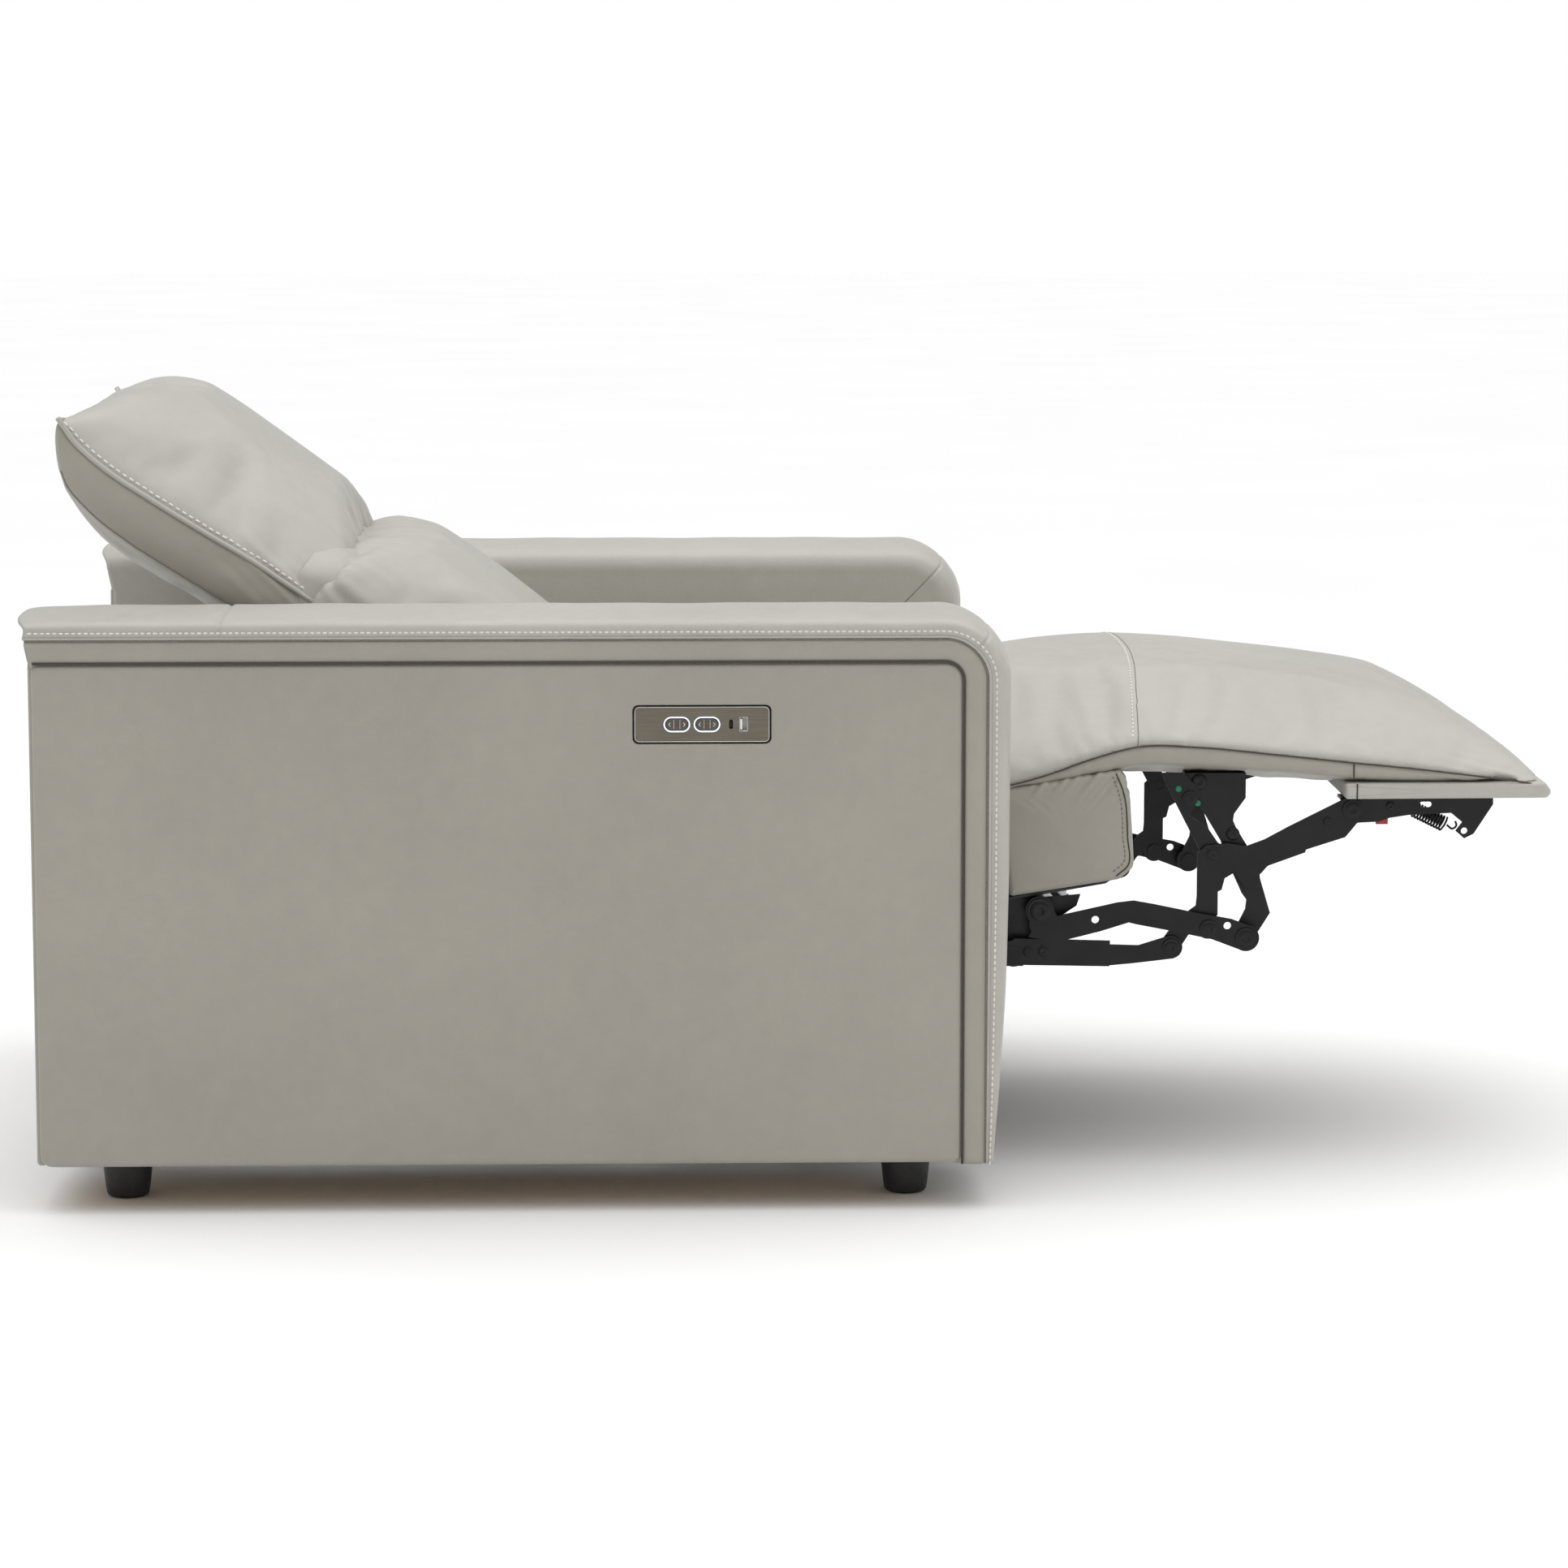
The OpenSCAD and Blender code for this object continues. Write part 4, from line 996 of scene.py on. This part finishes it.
class RECLINER_OT_seat_pad(bpy.types.Operator):
    """The seat cushion and footrest pad, one leather piece from the back to the footrest's tip"""

    bl_idname = "recliner.seat_pad"
    bl_label = "Seat and footrest pad"

    def execute(self, context):
        sizes = context.scene.recliner_sizes
        pad = SEAT.build("seat_and_footrest_pad", 260, 2.5)
        cross = SEAT.cross(CROSS_X, bow=CROSS_BOW)
        seams = [SEAT.seam(side, *SEAT_SEAM) for side, _ in SIDES]
        lows = [SEAT.seam(side, *SEAT_SEAM, column=3) for side, _ in SIDES]
        swell(pad, [SEAT.cross(1566), *seams, *lows], sizes.seat_swell, -0.015, sizes.weave_size, 3)
        # The pad's sides and underside take the side leather as painted shade.
        paint_shade_on_lower_side(pad, SEAT)
        groove(pad, cross, 0.006, 0.0014)
        for (side, _), seam in zip(SIDES, seams):
            groove(pad, seam, 0.005, 0.0018)
            ripple(pad, seam[-14:], 0.07, 0.0011, 0.013, 3, (0.25, 0.0, 0.97))
            ripple(pad, SEAT.seam(side, 1060, 1180, lift=14), 0.04, 0.0007, 0.021, 8, (0.97, 0.0, 0.25))
        ripple(pad, SEAT.cross(690), 0.06, 0.0014, 0.05, 5, (0, 1, 0))
        blended(pad)
        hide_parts("seat_cushion", "footrest_pad")
        up = (0, 0, 1)
        rows = [(SEAT.cross(CROSS_X - 5, reach=0.985, bow=CROSS_BOW), up)]
        snap(rows, pad)
        for side, label in SIDES:
            # The side seam is a near-black tube of painted shade in the side groove.
            path = SEAT.seam(side, *SEAT_SEAM, lift=-0.6, out=0.1)
            blended(tube("pad_side_seam_shade_" + label, path, 0.0009, FINISH["seam"], (0, side, 0)))
            # The border seam is a near-black tube of painted shade.
            border = SIDE.place(np.full(12, 1362.0), side * (PAD_HALF + 0.4), np.linspace(426, 411, 12))
            joint = tube("pad_border_seam_shade_" + label, border, SEAM_SHADE_RADIUS, FINISH["seam"], (0, side, 0))
            mount(joint, "footrest", "leather_top")
        blended(stitches("pad_cross_stitches", rows, FINISH["stitch"], sizes))
        held = [(cross, up)]
        snap(held, pad, -0.0002)
        # The cross seam is a tube of painted shade sunk into the cross groove.
        blended(tube("pad_cross_seam_shade", held[0][0], 0.0006, FINISH["soft_seam_shade_and_thread"], up))
        return {"FINISHED"}


class RECLINER_OT_fascia(bpy.types.Operator):
    """The leather-wrapped box under the seat's front edge, with its double-stitched front edge, drawn as a
    dark tube of painted shade in the seam and a row of stitches beside it, and gathered top corner"""

    bl_idname = "recliner.fascia"
    bl_label = "Seat front box"

    def execute(self, context):
        sizes = context.scene.recliner_sizes
        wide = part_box("seat_fascia")[1].y / MM
        loop = outline(FASCIA_LOOP, FASCIA_RADII, 420)
        # The front box takes the side leather, darkened as painted shade.
        box = block("seat_front_box", loop, -wide, wide, FINISH["painted_shade_side_leather"], 7, 1.5)
        for side, _ in SIDES:
            crest = SIDE.place(np.linspace(1040, 1118, 20), side * wide, np.linspace(409, 417, 20))
            ripple(box, crest, 0.045, 0.0016, 0.012, 2, (0.75, 0, -0.66))
        mount(box, "carriage", "leather_side", "seat_fascia", fill=0.9)
        rows = []
        for side, _ in SIDES:
            for points in (FASCIA_EDGE, FASCIA_ROW):
                row = line(points, 60)
                rows.append((SIDE.place(row[:, 0], side * (wide + 0.2), row[:, 1]), (0, side, 0)))
        snap(rows, box)
        # The front box seams are near-black tubes of painted shade along the edge groove.
        for n, (path, out) in enumerate(rows[::2]):
            mount(tube(f"front_box_seam_shade_{n}", path, SEAM_SHADE_RADIUS, FINISH["seam"], out), "carriage", "leather_side")
        # The front box stitches take the soft seam finish as their real darker thread colour.
        threads = stitches("front_box_stitches", rows[1::2], FINISH["soft_seam_shade_and_thread"], sizes, 0.8)
        mount(threads, "carriage", "leather_side")
        shield = outline(BASE_LOOP, (1, 1, 0.6, 1, 1), 120)
        plate = block("front_box_base", shield, -wide + 14, wide - 14, FINISH["black_plastic"], 0.8, 0)
        mount(plate, "carriage", "housing_plastic")
        return {"FINISHED"}


class RECLINER_OT_footrest_board(bpy.types.Operator):
    """The leather-wrapped board under the front of the footrest"""

    bl_idname = "recliner.footrest_board"
    bl_label = "Footrest board"

    def execute(self, context):
        x0, x1, z0, z1 = side_box("footrest_board")
        corners = [(x0 - 1, z0 + 0.4), (x1 + 7, z0 + 1), (x1 + 11, z0 + 8), (x1 + 4, z1 - 0.5),
                   (x0 - 1, z1 - 0.5)]
        loop = outline(corners, (3, 6, 5, 3, 3), 300)
        board = block("footrest_board_cover", loop, -PAD_HALF + 1, PAD_HALF - 1, FINISH["leather"], 4, 0.4)
        mount(board, "footrest", "leather_side", "footrest_board", fill=0.95)
        for side, label in SIDES:
            # Each board end seam is a near-black tube of painted shade.
            path = SIDE.place(np.full(10, x0 + 11), side * (PAD_HALF - 0.8), np.linspace(z0 + 1, z1 - 1, 10))
            thread = tube("board_end_seam_shade_" + label, path, SEAM_SHADE_RADIUS, FINISH["seam"], (0, side, 0))
            mount(thread, "footrest", "leather_side")
        return {"FINISHED"}


# ---- Back and headrest ----

LUMBAR_TABLE = (
    (16, -8, -30, -60, 0.97), (24, 2, -32, -84, 0.985), (60, 17, -34, -87, 1.0), (120, 27, -34, -87, 1.0),
    (188, 33, -34, -87, 1.0), (251, 36, -34, -87, 1.0), (310, 35, -33, -87, 1.0), (345, 32, -31, -87, 1.0),
    (368, 27, -29, -86, 0.995), (380, 16, -29, -80, 0.985), (386, 2, -30, -66, 0.97),
)
NECK_TABLE = (
    (350, -10, -38, -94, 0.985), (366, 1, -38, -98, 1.0), (378, 2, -38, -100, 1.0), (392, 0, -42, -100, 1.0),
    (412, -10, -50, -96, 0.985),
)
HEAD_TABLE = (
    (369, 2, -50, -95, 0.955), (373, 13, -55, -107, 0.97), (382, 18, -57, -112, 0.985),
    (406, 20.5, -57.5, -113, 0.995), (459, 22, -58, -114, 1.0), (519, 23.5, -62, -117, 1.0),
    (580, 24, -65, -119, 1.0), (633, 20.5, -66, -114, 1.0), (661, 14, -63.5, -105, 1.0),
    (680, 3, -59.5, -90, 1.003), (694, -18, -53.5, -72, 1.01), (704, -45, -49.5, -58, 1.015),
)
EAR = 12
HEAD_WELT = 0.0028
NECK_BLEND = (362, 400)
SHELL_LOOP = ((-58, -127), (369, -127), (369, -112), (-58, -112))


class RECLINER_OT_back(bpy.types.Operator):
    """The back cushion, the outside back, the leather that closes the crease above it, and the chair's
    rear cover"""

    bl_idname = "recliner.back"
    bl_label = "Back"

    def execute(self, context):
        sizes = context.scene.recliner_sizes
        # cover is the side leather, darkened as painted shade for the outside back and rear cover.
        cover = FINISH["painted_shade_side_leather"]
        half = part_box("back_cushion")[1].y / MM - 1
        lumbar = Pad(LUMBAR_TABLE, half, BACK, (3.4, 0.55))
        cushion = lumbar.build("back_cushion_leather", 150, 3)
        seams = [lumbar.seam(side, 20, 383) for side, _ in SIDES]
        swell(cushion, seams, sizes.back_swell, -0.02, sizes.weave_size, 8)
        ripple(cushion, lumbar.cross(380), 0.075, 0.0017, 0.026, 11, (0.1, 1, 0))
        for side, _ in SIDES:
            corner = BACK.place(np.linspace(340, 368, 8), side * (half - 12), np.linspace(10, -20, 8))
            ripple(cushion, corner, 0.07, 0.003, 0.019, 21, (0.5, 0.6 * side, 0.6))
        mount(cushion, "backrest", "leather_top", "back_cushion", fill=0.75)
        low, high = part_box("outside_back")
        loop = outline(SHELL_LOOP, (5, 5, 4, 4), 420)
        shell = block("outside_back_panel", loop, low.y / MM, high.y / MM, cover, 5, 0, BACK.slab)
        mount(shell, "backrest", "leather_side", "outside_back", fill=0.9)
        neck = Pad(NECK_TABLE, half - 8, BACK, (8, 0.5)).build("neck_crease_leather", 40, 2)
        start, end = (tuple(BACK.place(a, 0, 0)) for a in NECK_BLEND)
        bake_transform(neck)
        low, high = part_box("rear_panel")
        x0, x1, z0, z1 = side_box("rear_panel")
        loop = panel_loop(low.y / MM + 1, high.y / MM - 1, z0, z1, (5, 5, 5, 5), 300)
        rear = block("rear_panel_cover", loop, x0, x1, cover, 5, 1.5,
                     lambda a, b, depth: SIDE.place(depth, a, b))
        mount(rear, "base", "leather_side", "rear_panel", fill=0.9)
        return {"FINISHED"}


class RECLINER_OT_headrest(bpy.types.Operator):
    """The headrest cushion with its boxed side, welted seam and pointed corners"""

    bl_idname = "recliner.headrest"
    bl_label = "Headrest"

    def execute(self, context):
        sizes = context.scene.recliner_sizes
        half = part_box("headrest_cushion")[1].y / MM
        head = Pad(HEAD_TABLE, half, BACK, (2.8, 0.6), EAR)
        cushion = head.build("headrest_leather", 150, 5)
        seams = [head.seam(side, 374, 703) for side, _ in SIDES]
        lows = [head.seam(side, 400, 690, column=3) for side, _ in SIDES]
        u = np.linspace(-1, 1, 120)
        tops = BACK.place(702 - EAR * (1 - u**4), half * u, -50.0)
        swell(cushion, [*seams, *lows, tops], sizes.back_swell, -0.015, sizes.weave_size, 8)
        # The headrest's boxed sides and underside take the side leather as painted shade.
        paint_shade_on_lower_side(cushion, head)
        for k, path in enumerate(seams):
            groove(cushion, path, 0.007, 0.0012)
            ripple(cushion, path[:40], 0.05, 0.0022, 0.022, 31 + k, (0.7, 0, 0.7))
        ripple(cushion, head.cross(376), 0.06, 0.0016, 0.03, 17, (0.1, 1, 0))
        mount(cushion, "headrest", "leather_top", "headrest_cushion", "headrest_back", fill=0.8)
        rows = []
        for side, label in SIDES:
            out = (0, side, 0)
            rows.append((head.seam(side, 388, 698, lift=7, out=-0.4), out))
            back_row = [(head.seam(side, 440, 672, column=3, lift=3), out)]
            snap(back_row, cushion)
            for name, path, radius, finish, facing in (
                ("headrest_welt_", head.seam(side, 372, 704, out=0.4), HEAD_WELT, "leather", out),
                # The back seam is a thin tube of painted shade along the back groove.
                ("headrest_back_seam_shade_", back_row[0][0], SEAM_SHADE_RADIUS, "soft_seam_shade_and_thread", back_row[0][1]),
            ):
                mount(tube(name + label, path, radius, FINISH[finish], facing), "headrest", "leather_top")
        top = tube("headrest_welt_top", tops, HEAD_WELT * 0.8, FINISH["leather"], BACK.along)
        mount(top, "headrest", "leather_top")
        snap(rows, cushion)
        threads = stitches("headrest_stitches", rows, FINISH["stitch"], sizes, 1.3)
        mount(threads, "headrest", "leather_top")
        return {"FINISHED"}


# ---- Mechanism ----

COIL_RADIUS, COIL_STEPS, WIRE = 7.6, 14, 0.0011
COIL_INSET = 9
HOOK = ((3, -1), (9, -5), (13, -2), (12, 3))
RIVETS = (
    ("drive_shaft", (1213, 252), 284.6, 8.6, 2.6), ("drive_shaft", (1252, 242), 284.6, 10.4, 2.6),
    ("drive_shaft", (1036, 272), 285, 12, 3), ("lower_link_pair", (1174, 232), 280.6, 8.2, 2.6),
    ("bellcrank_pair", (1363, 376), 276.6, 9.6, 2.6), ("bellcrank_pair", (1337, 364), 276.6, 4.2, 1.2),
    ("bellcrank_pair", (1218, 330), 276.6, 6.4, 0.8), ("control_link_pair", (1193, 388), 272.6, 7.4, 2.6),
    ("ottoman_link_pair", (1203, 405), 268.6, 8.2, 2.4), ("ottoman_link_pair", (1239, 350), 268.6, 7.0, 2.2),
    ("footrest", (1404, 379), 268.6, 4.5, 1.5), ("lower_link_pair", (1024, 228), 280.6, 5.2, 0.9),
    ("lower_link_pair", (1040, 228), 280.6, 5.2, 0.9),
)
RIVET_PROFILE = (
    (0.9, None), (1, 0.25), (0.93, 0.62), (0.72, 0.95), (0.5, 1.05), (0.34, 0.98), (0.22, 0.7),
)
RIVET_SUNK = -0.2
RIVET_HEART = (0.15, 0.6)
DAB_PROFILE = ((3.4, RIVET_SUNK), (3.0, 0.25), (1.6, 0.4), (0.2, 0.42))
DAB_PLACES = ((1181, 398), (1201, 383))
DAB_FACE = 272.2
FOOT_SLOPE = ((8.5, 0.2), (6, 2.2), (4.8, 7), (3.2, 20), (1.2, 38), (0.3, 45.5), (1.2, 48.2))


def turned(name, centre, profile, finish, axis, sides):
    """A turned shape: a profile of radius and height swept round an axis through its centre."""
    axis = np.asarray(axis, float)
    side = np.cross(axis, (0.0, 0.0, 1.0) if abs(axis[2]) < 0.9 else (1.0, 0.0, 0.0))
    side /= np.linalg.norm(side)
    up = np.cross(axis, side)
    p = np.asarray(profile, float)
    turn = np.linspace(0, 2 * math.pi, sides, endpoint=False)
    ring = np.cos(turn)[:, None] * side + np.sin(turn)[:, None] * up
    radius, height = p[:, 0][:, None, None], p[:, 1][:, None, None]
    return skin(name, np.asarray(centre, float) + MM * (radius * ring[None] + height * axis), finish)


class RECLINER_OT_springs(bpy.types.Operator):
    """The coil spring beside each footrest bracket, and its hook"""

    bl_idname = "recliner.springs"
    bl_label = "Footrest springs"

    def execute(self, context):
        turns = context.scene.recliner_sizes.coil_turns
        x0, x1, z0, z1 = side_box("footrest_springs")
        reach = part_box("footrest_springs")[1].y / MM - COIL_INSET
        start, end = np.array([x0 + 6, z1 - 9]), np.array([x1 - 6, z0 + 9])
        t = np.linspace(0, 1, int(turns * COIL_STEPS))
        way = (end - start) / np.linalg.norm(end - start)
        spin = 2 * math.pi * turns * t
        flat = start + (end - start) * t[:, None]
        flat += COIL_RADIUS * np.cos(spin)[:, None] * np.array([-way[1], way[0]])
        hook = line(end + np.array(HOOK), 24)
        made = []
        for side, label in SIDES:
            y = side * reach
            path = SIDE.place(flat[:, 0], y + COIL_RADIUS * np.sin(spin), flat[:, 1])
            made.append(tube("footrest_coil_" + label, path, WIRE, FINISH["steel"], (0.02, side, 0.01)))
            path = SIDE.place(hook[:, 0], y, hook[:, 1])
            made.append(tube("footrest_hook_" + label, path, WIRE, FINISH["steel"], (0, side, 0)))
        for obj in made:
            mount(obj, "footrest", "black_steel")
        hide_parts("footrest_springs")
        return {"FINISHED"}


class RECLINER_OT_rivets(bpy.types.Operator):
    """Domed and dimpled rivet heads on the links, and dabs of green marking paint by the upper ones"""

    bl_idname = "recliner.rivets"
    bl_label = "Rivet heads"

    def execute(self, context):
        for n, (body, place, face, radius, height) in enumerate(RIVETS):
            points = [(radius * r, RIVET_SUNK if h is None else height * h) for r, h in RIVET_PROFILE]
            profile = line([*points, (RIVET_HEART[0], height * RIVET_HEART[1])], 22)
            for side, label in SIDES:
                centre = SIDE.place(place[0], side * face, place[1])
                head = turned(f"rivet_{n}_{label}", centre, profile, FINISH["steel"], (0, side, 0), 32)
                mount(head, body, "black_steel")
        for n, place in enumerate(DAB_PLACES):
            for side, label in SIDES:
                centre = SIDE.place(place[0], side * DAB_FACE, place[1])
                dab = turned(f"paint_dab_{n}_{label}", centre, DAB_PROFILE, FINISH["green"], (0, side, 0), 18)
                mount(dab, "control_link_pair", "black_steel")
        return {"FINISHED"}


class RECLINER_OT_feet(bpy.types.Operator):
    """The four tapered black feet with rounded lower edges"""

    bl_idname = "recliner.feet"
    bl_label = "Feet"

    def execute(self, context):
        for node in ("front_right_foot", "rear_right_foot", "front_left_foot", "rear_left_foot"):
            low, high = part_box(node)
            radius = (high.x - low.x) / 2 / MM
            sloped = [(radius - inset, height) for inset, height in FOOT_SLOPE]
            profile = line([(radius * 0.6, 0), *sloped, (radius * 0.5, 48.4)], 48)
            centre = ((low.x + high.x) / 2, (low.y + high.y) / 2, 0)
            foot = turned(node + "_cover", centre, profile, FINISH["foot_plastic"], (0, 0, 1), 56)
            mount(foot, "base", "foot_plastic", node)
        return {"FINISHED"}


NODE_FINISH = {
    "steel": ("carriage_plates", "carriage_rivets", "torque_tube", "drive_links", "drive_link_rivets",
              "lower_links", "lower_link_rivets", "bellcranks", "bellcrank_rivets", "ottoman_links",
              "control_links", "footrest_brackets"),
    "grey_steel": ("base_rails", "base_cross_tubes", "seat_frame", "back_frame", "slide_tracks",
                   "seat_runners"),
    "bright_steel": ("foot_bolts", "arm_bolts", "back_hinge_pins", "drive_rail", "drive_block"),
    "wood": ("right_arm_frame", "left_arm_frame", "headrest_frame"),
    "black_plastic": ("switch_housing", "usb_c_socket", "power_box", "power_inlet", "drive_motor",
                      "headrest_motor"),
    "plate": ("control_plate",),
    "rocker": ("recline_rocker", "headrest_rocker"),
    "glow": ("light_rings",),
    "white_plastic": ("usb_a_socket",),
    "webbing": ("seat_webbing", "back_webbing"),
    "rubber": ("footrest_bumpers",),
}


class RECLINER_OT_frame_finishes(bpy.types.Operator):
    """Finishes for the frame's own parts"""

    bl_idname = "recliner.frame_finishes"
    bl_label = "Frame finishes"

    def execute(self, context):
        for finish, nodes in NODE_FINISH.items():
            for node in nodes:
                mesh = frame["nodes"][node].data
                mesh.materials.clear()
                mesh.materials.append(FINISH[finish])
        return {"FINISHED"}


# ---- Stage ----

FLOOR_REACH = 30.0
FLOOR_DEPTH = -0.0005
SKY_STOPS = ((0.045, 0.645), (0.12, 0.18), (0.5, 0.38), (0.85, 1.0))
SKY_BELOW, SKY_ABOVE, SKY_STRENGTH = 0.645, 1.0, 1.55
LIGHTS = (
    ("top_light", (0.4, -0.2, 3.2), (0.1, 0, 0.4), 3.2, 20),
    ("front_light", (2.9, -1.6, 1.7), (0.3, 0, 0.4), 1.8, 5),
    ("rear_light", (-2.8, 0.6, 2.2), (-0.3, 0, 0.5), 1.6, 4),
)
CAMERA_PLACE = (0.6204, -5.395, 1.0926)
CAMERA_DIP, CAMERA_TURN = 7.643, -1.661
CAMERA_LENS, CAMERA_SENSOR, CAMERA_FAR = 114, 36, 200


def look(way):
    """The turn that aims a light along a direction."""
    flat = math.hypot(way[0], way[1])
    return (math.atan2(flat, -way[2]), 0, math.atan2(way[1], way[0]) - math.pi / 2)


class RECLINER_OT_stage(bpy.types.Operator):
    """Pale floor, soft lights and the camera"""

    bl_idname = "recliner.stage"
    bl_label = "Stage"

    def execute(self, context):
        scene = context.scene
        p = Paint("pale_floor")
        pale = p.finish(p.tones(p.noise(1.2, 2.0), (0.93, 0.93, 0.93), (0.95, 0.95, 0.95)), 0.9)
        r, z = FLOOR_REACH, FLOOR_DEPTH
        corners = [(-r, -r, z), (r, -r, z), (r, r, z), (-r, r, z)]
        floor = piece("floor", corners, [(0, 1, 2, 3)], pale, False)
        world = bpy.data.worlds.new("soft_white")
        world.use_nodes = True
        tree = world.node_tree
        rise = tree.nodes.new("ShaderNodeSeparateXYZ")
        tree.links.new(tree.nodes.new("ShaderNodeTexCoord").outputs["Generated"], rise.inputs[0])
        sky = tree.nodes.new("ShaderNodeValToRGB")
        tree.links.new(rise.outputs["Z"], sky.inputs[0])
        ramp = sky.color_ramp.elements
        for place, value in SKY_STOPS:
            ramp.new(place).color = (value, value, value, 1)
        ramp[0].color = (SKY_BELOW, SKY_BELOW, SKY_BELOW, 1)
        ramp[-1].color = (SKY_ABOVE, SKY_ABOVE, SKY_ABOVE, 1)
        background = tree.nodes["Background"]
        background.inputs["Strength"].default_value = SKY_STRENGTH
        tree.links.new(sky.outputs["Color"], background.inputs["Color"])
        scene.world = world
        for name, spot, aim, size, power in LIGHTS:
            data = bpy.data.lights.new(name, "AREA")
            data.shape, data.size, data.energy = "SQUARE", size, power
            lamp = bpy.data.objects.new(name, data)
            lamp.location = spot
            lamp.rotation_euler = look(np.array(aim) - np.array(spot))
            scene.collection.objects.link(lamp)
        data = bpy.data.cameras.new("camera")
        data.lens, data.sensor_width, data.clip_end = CAMERA_LENS, CAMERA_SENSOR, CAMERA_FAR
        camera = bpy.data.objects.new("camera", data)
        camera.location = (REAR + CAMERA_PLACE[0], CAMERA_PLACE[1], CAMERA_PLACE[2])
        camera.rotation_euler = (math.radians(90 - CAMERA_DIP), 0, math.radians(CAMERA_TURN))
        scene.collection.objects.link(camera)
        scene.camera = camera
        scene.view_settings.view_transform = "Standard"
        return {"FINISHED"}


OPERATORS = (
    RECLINER_OT_frame_finishes, RECLINER_OT_arms, RECLINER_OT_control_panel, RECLINER_OT_seat_pad,
    RECLINER_OT_fascia, RECLINER_OT_footrest_board, RECLINER_OT_back, RECLINER_OT_headrest,
    RECLINER_OT_springs, RECLINER_OT_rivets, RECLINER_OT_feet, RECLINER_OT_stage,
)


class RECLINER_PT_build(bpy.types.Panel):
    """Lists the steps that build the recliner"""

    bl_idname = "RECLINER_PT_build"
    bl_label = "Recliner"
    bl_space_type = "VIEW_3D"
    bl_region_type = "UI"
    bl_category = "Recliner"

    def draw(self, context):
        for group in (context.scene.recliner_sizes, context.scene.recliner_colours):
            for name in group.__annotations__:
                self.layout.prop(group, name)
        for operator in OPERATORS:
            self.layout.operator(operator.bl_idname)


CLASSES = (ReclinerSizes, ReclinerColours, *OPERATORS, RECLINER_PT_build)


def register():
    for cls in CLASSES:
        bpy.utils.register_class(cls)
    bpy.types.Scene.recliner_sizes = bpy.props.PointerProperty(type=ReclinerSizes)
    bpy.types.Scene.recliner_colours = bpy.props.PointerProperty(type=ReclinerColours)


def unregister():
    del bpy.types.Scene.recliner_sizes, bpy.types.Scene.recliner_colours
    for cls in reversed(CLASSES):
        bpy.utils.unregister_class(cls)


def main():
    register()
    FINISH.update(finishes(bpy.context.scene.recliner_colours))
    for operator in OPERATORS:
        group, name = operator.bl_idname.split(".")
        getattr(getattr(bpy.ops, group), name)()


if __name__ == "__main__":
    main()
